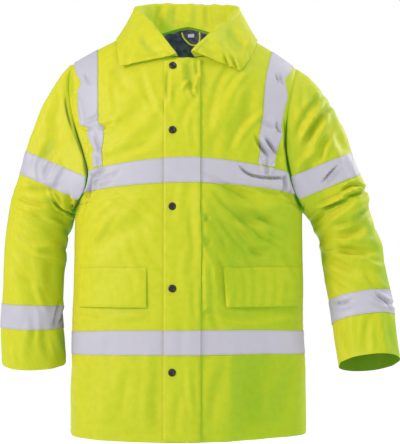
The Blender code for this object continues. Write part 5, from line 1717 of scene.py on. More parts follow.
@dataclass(frozen=True)
class SleeveCloth:
    """Cloth of a sleeve: its form and its creases."""

    form: SleeveForm
    creases: Chart
    swell: float = 0.0007
    swell_size: float = 0.06
    gather: float = 0.0004
    gathers: int = 46
    cuff_wave: float = 0.0008
    cuff_slant: float = 0.0       # how much higher the cuff is cut in front than in the middle

    def at(self, around: Array, ring: Array, lift: Array | float = 0.0) -> Array:
        """Points of the cloth.

        Args:
            around: Shares of the way round.
            ring: Rings down the arm.
            lift: Distance off the cloth.

        Returns:
            The points.
        """
        around, ring = np.broadcast_arrays(around, ring)
        points, normals = self.form.point(around, ring), self.form.normal(around, ring)
        small = self.creases.lift(points, normals) + self.swell * rumple(points, self.swell_size, 23)
        small = small * ease(ring, 0.0, 0.22)
        # Gathers of the cap, where its fullness is eased into the armhole.
        angle = around * 2 * np.pi
        gather = np.sin(angle * self.gathers + 1.5 * np.sin(angle * 5))
        small += self.gather * gather * ease(ring, 0.0, 0.03) * ease(ring, 0.16, 0.04)
        low = ease(ring, self.form.last - 0.5, self.form.last)
        small += self.cuff_wave * low * np.sin(angle * 7 + 2.0 * np.sin(angle * 2 + 1))
        placed = points + normals * (small + lift)[..., None]
        placed[..., 2] -= self.cuff_slant * low * normals[..., 1]
        return placed


def along_edges(grid: Array, under: Array, edge: str, inset: float, clip: float = 0.0) -> StitchRun:
    """A run of points at an even distance inside one edge of a piece.

    Args:
        grid: The outer side of the piece.
        under: The inner side.
        edge: f or l for the first or last column, b or t for the first or last row.
        inset: Distance inside the edge.
        clip: Length that is left out at both ends.

    Returns:
        The run.
    """
    turned = {"b": lambda g: g, "t": lambda g: g[::-1], "f": lambda g: g.swapaxes(0, 1),
              "l": lambda g: g[:, ::-1].swapaxes(0, 1)}[edge]
    outer, inner = turned(grid), turned(under)
    depth = distances(outer)[1]
    points, into, deeper = (
        np.concatenate([along_path([place], depth[:, n], source[:, n]) for n in range(outer.shape[1])])
        for place, source in ((inset, outer), (inset, outer - inner), (inset + 0.002, outer)))
    normals = unit(np.cross(np.gradient(points, axis=0), deeper - points))
    normals *= np.sign(np.sum(normals * into, axis=1, keepdims=True))
    travel = path_lengths(points)
    kept = (travel >= clip) & (travel <= travel[-1] - clip)
    return StitchRun(points[kept], normals[kept])


def shortened(grid: Array, amount: float) -> Array:
    """A grid whose rows are drawn in a little at both ends, to stay clear of a seam."""
    across = distances(grid)[0]
    return np.stack([along_path(np.linspace(amount, lengths[-1] - amount, grid.shape[1]), lengths, row)
                     for lengths, row in zip(across, grid)])


def declare(piece: bpy.types.Object, outer: Array, rests_on: Sequence[str],
            with_pieces: Sequence[bpy.types.Object] = (), closed: bool = False) -> None:
    """Declares a piece as a sheet with the flat size of its outer side.

    Args:
        piece: The piece.
        outer: Its outer grid.
        rests_on: What carries it.
        with_pieces: Pieces sewn on it.
        closed: The grid runs right round a tube.
    """
    ring = np.concatenate([outer, outer[:, :1]], axis=1) if closed else outer
    across, along = distances(ring)
    first = np.cross(ring[:-1, 1:] - ring[:-1, :-1], ring[1:, :-1] - ring[:-1, :-1])
    second = np.cross(ring[1:, 1:] - ring[1:, :-1], ring[1:, 1:] - ring[:-1, 1:])
    area = float((np.linalg.norm(first, axis=-1).sum() + np.linalg.norm(second, axis=-1).sum()) / 2)
    width, length = float(across[:, -1].max()), float(along[-1].max())
    LOG.info("%s: cut %.3f x %.3f m, %.4f m2", piece.name, width, length, area)
    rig.sheet(piece, flat=(width, length), held="hung", rests_on=list(rests_on),
             area=min(area, width * length), with_pieces=list(with_pieces))


# ---------------------------------------------------------------- the pieces
@dataclass
class Shop:
    """What every piece is made with."""

    finishes: Wardrobe
    body: BodyCloth
    stitcher: Stitcher
    wall: float = 0.0014
    edge_roll: float = 0.0013
    edge_width: float = 0.0032
    tape_lift: float = 0.0007
    tape_wall: float = 0.0005
    tape_inset: float = 0.0022
    tape_sunk: float = 0.8       # share of its lift that a tape loses at its sewn edges
    tape_edge: float = 0.0016

    def rolled(self, outer: Array, inner: Array, edges: str) -> Array:
        """The outer grid drawn in towards the inner one along some edges, as cloth is at a seam."""
        return drawn_in(outer, inner, self.edge_roll * bell(edge_distance(outer, edges), self.edge_width))

    def shell(self, name: str, outer: Array, inner: Array, node: str,
              **looks: Array | float) -> bpy.types.Object:
        """A piece of shell cloth that replaces a node, with the looks that cloth_piece takes."""
        return register(cloth_piece(name, outer, inner, self.finishes.shell, **looks), Slot.SHELL, node)

    def sew(self, name: str, runs: Sequence[StitchRun], slot: Slot = Slot.SHELL) -> None:
        """Sews rows of stitches, in the thread of what they lie on."""
        thread = self.finishes.tape_thread if slot == Slot.TAPE else self.finishes.thread
        self.stitcher.sew(f"stitches_{name}", runs, thread, slot)

    def tape(self, part: str, make: Callable[[float], Array], closed: bool = False,
             short: float = 0.0) -> tuple[bpy.types.Object, list[StitchRun]]:
        """A tape sewn on the cloth.

        Args:
            part: What it lies on.
            make: Makes the tape's grid at a distance off the cloth.
            closed: It runs right round a sleeve.
            short: How much shorter it is at both ends.

        Returns:
            The tape and the runs of its two rows of stitches.
        """
        under, over = make(self.tape_lift), make(self.tape_lift + self.tape_wall)
        if short:
            under, over = shortened(under, short), shortened(over, short)
        sunk = self.tape_sunk * self.tape_lift * bell(edge_distance(over, "bt"), self.tape_edge)
        over = drawn_in(over, under, sunk)
        under = drawn_in(under, over, -sunk)
        piece = cloth_piece(f"band_{part}", over, under, self.finishes.tape, closed)
        runs = [along_edges(over, under, edge, self.tape_inset) for edge in "bt"]
        return register(piece, Slot.TAPE, f"tape_{part}"), runs

    def bands(self, part: str, make: Callable[[Array, float], Array], lines: int,
              short: float) -> tuple[list[bpy.types.Object], list[StitchRun]]:
        """The chest band and the hip band on one part of the body.

        Args:
            part: The part's name.
            make: Makes a grid of some rises at a distance off the cloth.
            lines: How many lines of points run along each band.
            short: How much shorter each one is at both ends.

        Returns:
            The bands and the runs of their stitches.
        """
        tapes, sewn = [], []
        for place, reach in (("chest", self.body.form.chest_tape), ("hip", self.body.form.hip_tape)):
            rises = np.linspace(*reach, lines)
            tape, runs = self.tape(f"{place}_{part}", lambda lift: make(rises, lift), short=short)
            tapes.append(tape)
            sewn += runs
        return tapes, sewn


@dataclass
class BodyPanels:
    """The two fronts and the back, with their tapes."""

    shop: Shop
    row_steps: tuple[float, float] = (0.0075, 0.0095)
    cells: int = 84
    back_cells: int = 60
    back_row_steps: tuple[float, float] = (0.0105, 0.0105)
    tape_short: float = 0.003
    tape_lines: int = 17
    back_tape_lines: int = 15
    hem_inset: float = 0.020
    hem_clip: float = 0.004
    seam_shade: float = 0.9
    seam_width: float = 0.0030
    seam_low: tuple[float, float] = (-0.19, -0.23)    # heights where the seams' painted shade begins

    def make(self) -> None:
        """Makes the panels, tapes and stitches."""
        shop, cloth = self.shop, self.shop.body
        shares, back_shares = (np.linspace(0, 1, cells + 1) for cells in (self.cells, self.back_cells))
        rows, back_rows = (split_rows(-1.0, 1.0, steps) for steps in (self.row_steps, self.back_row_steps))
        shell_runs, tape_runs = [], []
        for side in Side:
            part = f"front_{side.name.lower()}"
            outer, inner = (cloth.half(Face.FRONT, side, rows, shares, lift) for lift in (0.0, -shop.wall))
            outer = shop.rolled(outer, inner, "flt")
            rises = cloth.form.places(Face.FRONT, side, rows, shares)[1]
            # Painted shade along the armhole and side seams below the upper chest, and in the deep folds.
            seam = bell(cloth.seam_gap(Face.FRONT, side, outer, rises), self.seam_width)
            seam = self.seam_shade * seam * ease(outer[..., 2], *self.seam_low)
            piece = shop.shell(f"shell_{part}", outer, inner, part,
                               shade=np.maximum(PAINTED_SHADE.cover(outer), seam))
            tapes, runs = shop.bands(
                part, lambda levels, lift: cloth.half(Face.FRONT, side, levels, shares, lift),
                self.tape_lines, self.tape_short)
            tape_runs += runs
            declare(piece, outer, ["back"], tapes)
            shell_runs.append(along_edges(outer, inner, "b", self.hem_inset, self.hem_clip))
        outer, inner = (cloth.whole(back_rows, back_shares, lift) for lift in (0.0, -shop.wall))
        outer = shop.rolled(outer, inner, "flt")
        piece = shop.shell("shell_back", outer, inner, "back")
        tapes, runs = shop.bands("back", lambda levels, lift: cloth.whole(levels, back_shares, lift),
                                 self.back_tape_lines, self.tape_short)
        declare(piece, outer, ["shell_front_right"], tapes)
        shell_runs.append(along_edges(outer, inner, "b", self.hem_inset, self.hem_clip))
        shop.sew("hem", shell_runs)
        shop.sew("body_bands", tape_runs + runs, Slot.TAPE)


EDGE_COLUMNS = ("rise", "out")


@dataclass
class Braces:
    """The two reflective braces, from the chest band over the shoulder to the back."""

    shop: Shop
    right_front: tuple[Table, Table] = (
        Table(EDGE_COLUMNS, (
            (0.212, 0.1755), (0.27, 0.1767), (0.307, 0.1768), (0.354, 0.1748), (0.401, 0.1728),
            (0.446, 0.1751), (0.478, 0.183), (0.502, 0.1868), (0.564, 0.1864), (0.692, 0.1872),
            (0.839, 0.1889), (0.92, 0.1905), (1.0, 0.1955))),
        Table(EDGE_COLUMNS, (
            (0.212, 0.1941), (0.323, 0.1944), (0.359, 0.1989), (0.398, 0.2058), (0.459, 0.2093),
            (0.49, 0.2106), (0.506, 0.2215), (0.546, 0.2246), (0.618, 0.2285), (0.697, 0.2321),
            (0.755, 0.233), (0.775, 0.23), (0.795, 0.2252), (0.84, 0.23), (0.878, 0.2363), (0.942, 0.2425),
            (1.0, 0.2455))))
    left_front: tuple[Table, Table] = (
        Table(EDGE_COLUMNS, (
            (0.212, 0.1472), (0.285, 0.1505), (0.325, 0.1517), (0.36, 0.148), (0.383, 0.1476),
            (0.42, 0.151), (0.48, 0.1542), (0.61, 0.1588), (0.715, 0.1615), (0.803, 0.1664),
            (0.917, 0.1743), (1.0, 0.1818))),
        Table(EDGE_COLUMNS, (
            (0.212, 0.179), (0.258, 0.1813), (0.326, 0.1857), (0.398, 0.1923), (0.44, 0.195),
            (0.478, 0.1936), (0.54, 0.1985), (0.597, 0.2017), (0.66, 0.2063), (0.715, 0.2099),
            (0.772, 0.2071), (0.815, 0.2042), (0.85, 0.2085), (0.906, 0.2175), (1.0, 0.2275))))
    right_back: tuple[Table, Table] = (
        Table(EDGE_COLUMNS, ((0.212, 0.163), (0.38, 0.169), (0.5, 0.172), (0.8, 0.186), (1.0, 0.1955))),
        Table(EDGE_COLUMNS, ((0.212, 0.213), (0.36, 0.216), (0.5, 0.222), (0.8, 0.236), (1.0, 0.2455))))
    left_back: tuple[Table, Table] = (
        Table(EDGE_COLUMNS, ((0.212, 0.158), (0.36, 0.16), (0.5, 0.159), (0.8, 0.169), (1.0, 0.1818))),
        Table(EDGE_COLUMNS, ((0.212, 0.208), (0.38, 0.207), (0.5, 0.209), (0.8, 0.218), (1.0, 0.2275))))
    foot_rise: float = 0.2120
    bend_rise: float = 0.9       # the grid is finer from here over the shoulder
    foot_cells: int = 84
    bend_cells: int = 24
    lines: int = 17
    stitch_clip: float = 0.004

    def grid(self, side: Side, lift: float) -> Array:
        """Grid of one brace, up the front and down the back.

        Args:
            side: Right or left.
            lift: Distance off the cloth.

        Returns:
            The grid.
        """
        rows = np.concatenate([np.linspace(self.foot_rise, self.bend_rise, self.foot_cells),
                               1 - np.linspace(0.1, 0, self.bend_cells)[1:]])
        front = self.right_front if side == Side.RIGHT else self.left_front
        back = self.right_back if side == Side.RIGHT else self.left_back
        strips = []
        for face, table, levels in ((Face.FRONT, front, rows), (Face.BACK, back, rows[-2::-1])):
            edges = (np.interp(levels, edge.column("rise"), edge.column("out")) for edge in table)
            out = np.linspace(*edges, self.lines, axis=1)
            strips.append(self.shop.body.over(face, side * out, levels[:, None], lift))
        return np.concatenate(strips)

    def make(self) -> None:
        """Makes the braces and their stitches."""
        shop, runs = self.shop, []
        for side in Side:
            name = f"brace_{side.name.lower()}"
            under, over = (self.grid(side, shop.tape_lift + wall) for wall in (0.0, shop.tape_wall))
            register(cloth_piece(name, over, under, shop.finishes.tape), Slot.TAPE, f"tape_{name}")
            runs += [along_edges(over, under, edge, shop.tape_inset, self.stitch_clip) for edge in "fl"]
        shop.sew("braces", runs, Slot.TAPE)


@dataclass
class Sleeve:
    """A sleeve with its two tapes."""

    shop: Shop
    name: str
    cloth: SleeveCloth
    columns: int = 120
    cap_rows: int = 84
    arm_rows: int = 96
    tape_columns: int = 240
    tape_lines: int = 16
    wrist_columns: int = 144
    wrist_lines: int = 15
    cuff_inset: float = 0.010
    tuck: float = 0.0045
    tuck_depth: float = 0.0022
    seam_width: float = 0.0030
    seam_low: tuple[float, float] = (-0.17, -0.23)    # heights where the seam's painted shade begins
    # least painted shade on the sleeve's inner side, which darkens the inside of the cuff
    inner_shade: float = 0.66

    def make(self) -> None:
        """Makes the sleeve, its tapes and stitches."""
        shop, form = self.shop, self.cloth.form
        around = np.arange(self.columns) / self.columns
        rings = np.concatenate([np.linspace(0, 1, self.cap_rows),
                                np.linspace(1, form.last, self.arm_rows)[1:]])
        outer, inner = (self.cloth.at(around[None, :], rings[:, None], lift) for lift in (0.0, -shop.wall))
        outer = drawn_in(outer, inner, shop.edge_roll * bell(distances(outer)[1], shop.edge_width))
        # The seam allowance turns in under the edge of the body.
        deep = unit(outer[0] - inner[0]) * self.tuck_depth
        back = unit(outer[0] - outer[2]) * self.tuck
        outer, inner = (np.concatenate([(grid[0] - deep + back)[None], grid]) for grid in (outer, inner))
        along = distances(outer)[1]
        # Painted shade along the armhole seam below the upper chest, and in the deep folds.
        seam = bell(np.maximum(along - along[1], 0), self.seam_width) * ease(outer[..., 2], *self.seam_low)
        piece = shop.shell(f"shell_sleeve_{self.name}", outer, inner, f"sleeve_{self.name}", closed=True,
                           shade=np.maximum(PAINTED_SHADE.cover(outer), seam), inner_shade=self.inner_shade)
        fine = np.arange(0.5, 1.5, 1 / self.tape_columns)
        top, bottom, kept = form.tape_rings(np.mod(fine, 1.0))
        spread = top[kept] + (bottom - top)[kept] * np.linspace(0, 1, self.tape_lines)[:, None]
        upper, upper_runs = shop.tape(
            f"arm_{self.name}", lambda lift: self.cloth.at(np.mod(fine[kept], 1.0)[None, :], spread, lift))
        edges = (form.ring_at_height(height) for height in form.wrist_tape)
        wrist = np.linspace(*edges, self.wrist_lines)[:, None]
        ring = np.arange(self.wrist_columns)[None, :] / self.wrist_columns
        lower, lower_runs = shop.tape(
            f"wrist_{self.name}", lambda lift: self.cloth.at(ring, wrist, lift), closed=True)
        declare(piece, outer, [f"shell_front_{self.name}"], [upper, lower], closed=True)
        loop = (np.concatenate([grid, grid[:, :1]], axis=1) for grid in (outer, inner))
        shop.sew(f"cuff_{self.name}", [along_edges(*loop, "t", self.cuff_inset)])
        shop.sew(f"bands_{self.name}", upper_runs + lower_runs, Slot.TAPE)


@dataclass(frozen=True)
class EdgePress:
    """How a flap's folded edges are pressed down, with a low ridge of cloth inside them."""

    depth: float
    width: float
    ridge_width: float
    ridge: float = 0.0004
    ridge_inset: float = 0.0045

    def pressed(self, outer: Array, inner: Array) -> Array:
        """The outer grid with all its edges pressed.

        Args:
            outer: The outer side.
            inner: The inner side.

        Returns:
            The new outer side.
        """
        gap = edge_distance(outer, "fblt")
        ridge = self.ridge * bell(gap - self.ridge_inset, self.ridge_width)
        return drawn_in(outer, inner, self.depth * bell(gap, self.width) - ridge)


@dataclass
class StormFlap:
    """The flap over the zip, its tapes and its snaps."""

    shop: Shop
    free_x: float = -0.0475
    seam_x: float = 0.0265
    foot_rise: float = -0.996
    top_rise: float = 0.722
    row_steps: tuple[float, float] = (0.0056, 0.0068)
    lift: float = 0.0024
    wall: float = 0.0022
    step: float = 0.0024
    snap_x: float = -0.0298
    snap_heights: tuple[float, ...] = (-0.0990, -0.2340, -0.3900, -0.5565, -0.7250)
    dimple: float = 0.0011
    dimple_width: float = 0.0115
    puff: float = 0.0008
    puff_width: float = 0.012
    ripple: float = 0.0005
    ripple_pitch: float = 0.031
    edges: EdgePress = EdgePress(0.0012, 0.0024, 0.0022)
    tape_short: float = 0.0006
    tape_lines: int = 17
    # Edge, inset and clip of each row of stitches.
    rows: tuple[tuple[str, float, float], ...] = (
        ("f", 0.0062, 0.004), ("l", 0.0022, 0.002), ("l", 0.0082, 0.002), ("t", 0.0060, 0.006))
    creases: Chart = Chart(front=(
        (167, 84, 92, 13, 2.2, -1.6, 1), (171, 92, 100, 12, 3.0, 1.0, 1), (189, 74, 80, 12, 4.0, -2.2, 2),
        (196, 84, 110, 12, 2.8, 1.8, 1), (192, 90, 70, 8, 2.0, -2.2, 1), (186, 84, 130, 7, 2.0, 1.6, 1),
        (197, 70, 84, 11, 2.0, -1.6, 1), (182, 66, 40, 8, 2.6, 1.2, 1), (186, 112, 112, 16, 4, -0.8, 2),
        (193, 132, 84, 16, 3, -0.6, 1), (180, 200, 96, 20, 4, 0.6, 2), (192, 232, 84, 22, 3, -0.7, 1),
        (184, 268, 96, 20, 4, 0.6, 2), (194, 300, 88, 18, 3, -0.7, 1), (182, 340, 92, 18, 4, -0.6, 1),
        (190, 390, 84, 22, 3, 0.8, 1), (178, 412, 96, 18, 4, -0.9, 1)))

    def point(self, x: Array, rise: Array, lift: float) -> Array:
        """Points of the flap at a distance off the fronts.

        Args:
            x: Distances from the centre, to the wearer's left.
            rise: Rises.
            lift: Distance off the fronts.

        Returns:
            The points.
        """
        bare = self.shop.body.over(Face.FRONT, x, rise)
        height = self.creases.lift(bare, np.broadcast_to((0.0, -1.0, 0.0), bare.shape))
        edge = np.minimum(x - self.free_x, 1.4 * (self.seam_x - x))
        height = height + self.puff * ease(edge, 0, self.puff_width)
        wave = np.sin(bare[..., 2] * 2 * np.pi / self.ripple_pitch + rumple(bare, 0.05, 3))
        height = height + self.ripple * wave * ease(edge, self.puff_width, 0)
        press = sum(bell(np.hypot(x - self.snap_x, bare[..., 2] - z), self.dimple_width)
                    for z in self.snap_heights)
        return self.shop.body.over(Face.FRONT, x, rise, lift + height - self.dimple * press)

    def make(self) -> None:
        """Makes the flap, its tapes and its stitches."""
        shop, top = self.shop, self.lift + self.wall
        x = refined((self.free_x, self.seam_x), self.step)
        rises = split_rows(self.foot_rise, self.top_rise, self.row_steps)
        outer, inner = (self.point(*np.meshgrid(x, rises), lift) for lift in (top, self.lift))
        outer = self.edges.pressed(outer, inner)
        # Painted shade in its folds.
        piece = shop.shell("storm_flap_shell", outer, inner, "storm_flap", shade=PAINTED_SHADE.cover(outer))
        tapes, tape_runs = shop.bands(
            "flap", lambda levels, lift: self.point(*np.meshgrid(x, levels), top + lift), self.tape_lines,
            self.tape_short)
        declare(piece, outer, ["shell_front_left"], tapes)
        shop.sew("storm_flap", [along_edges(outer, inner, *row) for row in self.rows])
        shop.sew("flap_bands", tape_runs, Slot.TAPE)
        Snaps(shop, self).make()


@dataclass
class Snaps:
    """Five pressed ring-spring caps, turned from one profile."""

    shop: Shop
    flap: StormFlap
    radius: float = 0.0080
    lift: float = 0.0006
    steps: int = 48
    # Distance from the axis and height, as shares of the radius: a shallow cup, a ring and a rolled edge.
    profile: tuple[tuple[float, float], ...] = (
        (0.0, 0.215), (0.2, 0.212), (0.38, 0.2), (0.46, 0.205), (0.51, 0.24), (0.56, 0.285), (0.63, 0.315),
        (0.71, 0.322), (0.79, 0.305), (0.87, 0.262), (0.94, 0.195), (0.985, 0.115), (1.0, 0.03),
        (0.97, -0.05), (0.9, -0.09), (0.0, -0.09))

    def make(self) -> None:
        """Makes the caps on the flap."""
        form, flap, steps = self.shop.body.form, self.flap, self.steps
        angle = np.arange(steps)[None, :, None] * 2 * np.pi / steps
        out, up = np.array(self.profile).T[:, :, None, None] * self.radius
        up = up + self.lift
        for number, height in enumerate(flap.snap_heights, start=1):
            rise = form.rise_of(Side.RIGHT, Face.FRONT, abs(flap.snap_x), height)
            seat = flap.point(np.array([flap.snap_x]), np.array([rise]), flap.lift + flap.wall)[0]
            normal = form.normal(Face.FRONT, Side.RIGHT, form.turn_of(abs(flap.snap_x), rise), rise)
            way = unit(np.cross(normal, (1.0, 0.0, 0.0)))
            side = np.cross(way, normal)
            rings = out[1:-1] * (np.cos(angle) * side + np.sin(angle) * way) + up[1:-1] * normal
            ends = [normal * up[0, 0, 0], normal * up[-1, 0, 0]]
            points = np.concatenate([rings.reshape(-1, 3), ends]) + seat
            top, last = len(points) - 2, (len(rings) - 1) * steps
            faces = quads(len(rings), steps, True).tolist()
            faces += [(top, (n + 1) % steps, n) for n in range(steps)]
            faces += [(top + 1, last + n, last + (n + 1) % steps) for n in range(steps)]
            cap = new_piece(f"snap_cap_{number}", points, faces, self.shop.finishes.enamel)
            shape = bmesh.new()
            shape.from_mesh(cap.data)
            bmesh.ops.recalc_face_normals(shape, faces=shape.faces)
            shape.to_mesh(cap.data)
            shape.free()
            register(cap, Slot.SNAP, f"snap_{number}")


@dataclass
class PocketFlaps:
    """The two flaps over the lower pockets."""

    shop: Shop
    # Distances out of both ends, and heights of the top and the bottom.
    right: tuple[float, float, float, float] = (0.0825, 0.2250, -0.5140, -0.5950)
    left: tuple[float, float, float, float] = (0.0735, 0.2320, -0.5130, -0.5950)
    top_lift: float = 0.0012
    bottom_lift: float = 0.0040
    wall: float = 0.0020
    slant: float = 0.005
    step: float = 0.0026
    ripples: tuple[float, float] = (0.0004, 0.0009)    # heights on the right and on the left
    ripple_pitch: float = 0.0215
    sag: float = 0.0010
    edges: EdgePress = EdgePress(0.0011, 0.0022, 0.0020)
    # Edges, inset and clip of each row of stitches.
    rows: tuple[tuple[str, float, float], ...] = (
        ("f", 0.0060, 0.006), ("l", 0.0060, 0.006), ("b", 0.0060, 0.006), ("t", 0.0020, 0.003),
        ("t", 0.0080, 0.003))

    def make(self) -> None:
        """Makes both flaps and their stitches."""
        runs = []
        for side, box, ripple in zip(Side, (self.right, self.left), self.ripples):
            start, end, top, bottom = box
            across = refined((0.0, end - start), self.step) / (end - start)
            down = refined((0.0, top - bottom), self.step) / (top - bottom)
            share, climb = np.meshgrid(across, down)
            slant = self.slant * (1 - climb) * (1 - share) * (side == Side.LEFT)
            out = start + (end - start) * share + slant
            z = bottom + (top - bottom) * climb
            rise = self.shop.body.form.rise_of(side, Face.FRONT, out, z)
            lift = self.bottom_lift + (self.top_lift - self.bottom_lift) * climb
            wave = np.sin(out * 2 * np.pi / self.ripple_pitch + 1.1 * np.sin(z * 60) + side)
            lift = lift + ripple * wave * (0.45 + 0.55 * (1 - climb))
            lift = lift + self.sag * np.sin(np.pi * share) * (1 - climb)**2
            outer, inner = (self.shop.body.over(Face.FRONT, side * out, rise, lift + wall)
                            for wall in (self.wall, 0.0))
            outer = self.edges.pressed(outer, inner)
            name = side.name.lower()
            piece = self.shop.shell(f"pocket_cover_{name}", outer, inner, f"pocket_flap_{name}")
            declare(piece, outer, [f"shell_front_{name}"])
            runs += [along_edges(outer, inner, *row) for row in self.rows]
        self.shop.sew("pocket_flaps", runs)


@dataclass
class Collar:
    """The fall collar: a stand sewn into the neck, a roll, and a fall over the shoulders."""

    shop: Shop
    ways: Table = Table(("way", "crest_x", "crest_y", "crest_z", "edge_x", "edge_y", "edge_z"), (
        (0.14, -0.0235, -0.133, -0.0735, -0.14, -0.113, -0.096),
        (0.45, -0.056, -0.102, -0.026, -0.145, -0.1, -0.072),
        (0.75, -0.083, -0.056, 0.014, -0.149, -0.07, -0.042),
        (1.05, -0.111, 0.005, 0.052, -0.152, 0.005, -0.014),
        (1.35, -0.1, 0.05, 0.069, -0.131, 0.06, -0.008),
        (1.65, -0.06, 0.077, 0.08, -0.079, 0.095, -0.004),
        (2.0, 0.0, 0.083, 0.08, 0.0, 0.106, -0.003),
        (2.35, 0.058, 0.076, 0.077, 0.079, 0.095, -0.005),
        (2.65, 0.092, 0.05, 0.069, 0.129, 0.06, -0.01),
        (2.95, 0.104, 0.008, 0.054, 0.148, 0.006, -0.02),
        (3.25, 0.084, -0.05, 0.019, 0.143, -0.072, -0.046),
        (3.55, 0.051, -0.094, -0.019, 0.13, -0.098, -0.078),
        (3.9, 0.0075, -0.132, -0.068, 0.11, -0.115, -0.107)))
    neck_middle: tuple[float, float, float] = (0.0, -0.02, 0.03)
    chest_middle: tuple[float, float, float] = (0.0, 0.0, -0.3)
    foot_off: float = 0.0016
    foot_deep: float = 0.0006
    roll: float = 0.0042
    clearance: float = 0.0030
    wall: float = 0.0020
    cells: int = 200
    stand_rows: int = 15
    roll_rows: int = 12
    fall_rows: int = 26
    fade: float = 0.012
    puff: float = 0.0010
    puff_width: float = 0.012
    press: float = 0.0008
    press_width: float = 0.0022
    creases: Chart = COLLAR_CREASES
    # Edge, inset and clip of each row of stitches.
    rows: tuple[tuple[str, float, float], ...] = (
        ("f", 0.0060, 0.005), ("l", 0.0060, 0.005), ("t", 0.0060, 0.005), ("b", 0.0030, 0.002))

    def foot(self, ways: Array) -> Array:
        """Foot of the stand.

        Args:
            ways: Ways along the neck seam, a whole one for each quarter of it from the right front.

        Returns:
            The points.
        """
        form = self.shop.body.form
        corners = np.linspace(0, 4, 81)
        points, normals = np.empty((len(corners), 3)), np.empty((len(corners), 3))
        quarters = ((Side.RIGHT, Face.FRONT), (Side.RIGHT, Face.BACK), (Side.LEFT, Face.BACK),
                    (Side.LEFT, Face.FRONT))
        for number, (side, face) in enumerate(quarters):
            own = np.minimum(corners.astype(int), 3) == number
            share = corners[own] - number
            out, rise = form.neckline(face, share if number in (0, 2) else 1 - share)
            turn = form.turn_of(out, rise)
            points[own] = form.point(face, side, turn, rise)
            normals[own] = form.normal(face, side, turn, rise)
        off = unit(np.cross(unit(np.gradient(points, axis=0)), normals))
        off *= np.sign(np.sum(off * (np.array(self.neck_middle) - points), axis=1, keepdims=True))
        return along_path(ways, corners, points + off * self.foot_off - normals * self.foot_deep)

    def under(self) -> Array:
        """The side that lies against the shoulders.

        Returns:
            Its grid, with rows from the foot over the roll to the edge.
        """
        ways = np.linspace(self.ways.rows[0][0], self.ways.rows[-1][0], self.cells + 1)
        crest, edge = (stacked(*(self.ways.read(f"{part}_{axis}", ways) for axis in "xyz"))
                       for part in ("crest", "edge"))
        foot = self.foot(ways)
        up = unit(crest - foot)
        out = edge - crest
        out = unit(out - up * np.sum(out * up, axis=1, keepdims=True))
        inside = crest - up * self.roll
        stand = [foot + (inside - foot) * share for share in np.linspace(0, 1, self.stand_rows + 1)[:-1]]
        turn = [inside + self.roll * (out * (1 - math.cos(angle)) + up * math.sin(angle))
                for angle in np.linspace(0, np.pi, self.roll_rows + 1)]
        fall = [turn[-1] + (edge - turn[-1]) * share for share in np.linspace(0, 1, self.fall_rows + 1)]
        clear = self.shop.body.form.clear
        return np.stack(stand + turn[:-1] + [clear(row, self.clearance) for row in fall])

    def make(self) -> None:
        """Makes the collar and its topstitching."""
        under = self.under()
        across, along = np.gradient(under, axis=1), np.gradient(under, axis=0)
        normals = unit(np.cross(across, along))
        # The outer side of the fall looks away from the neck.
        fall = normals[-1] * (under[-1] - np.array(self.chest_middle))
        normals *= np.sign(fall.sum())
        fade = ease(distances(under)[1], 0.0, self.fade)[..., None]
        under = under + normals * self.creases.lift(under, normals)[..., None] * fade
        gap = edge_distance(under, "flt")
        puff = self.puff * ease(gap, 0.0, self.puff_width) - self.press * bell(gap, self.press_width)
        over = under + normals * (self.wall + puff)[..., None]
        # Painted shade in its folds.
        piece = self.shop.shell("collar_shell", over, under, "collar", shade=PAINTED_SHADE.cover(over))
        declare(piece, over, ["shell_back"])
        self.shop.sew("collar", [along_edges(over, under, *row) for row in self.rows])


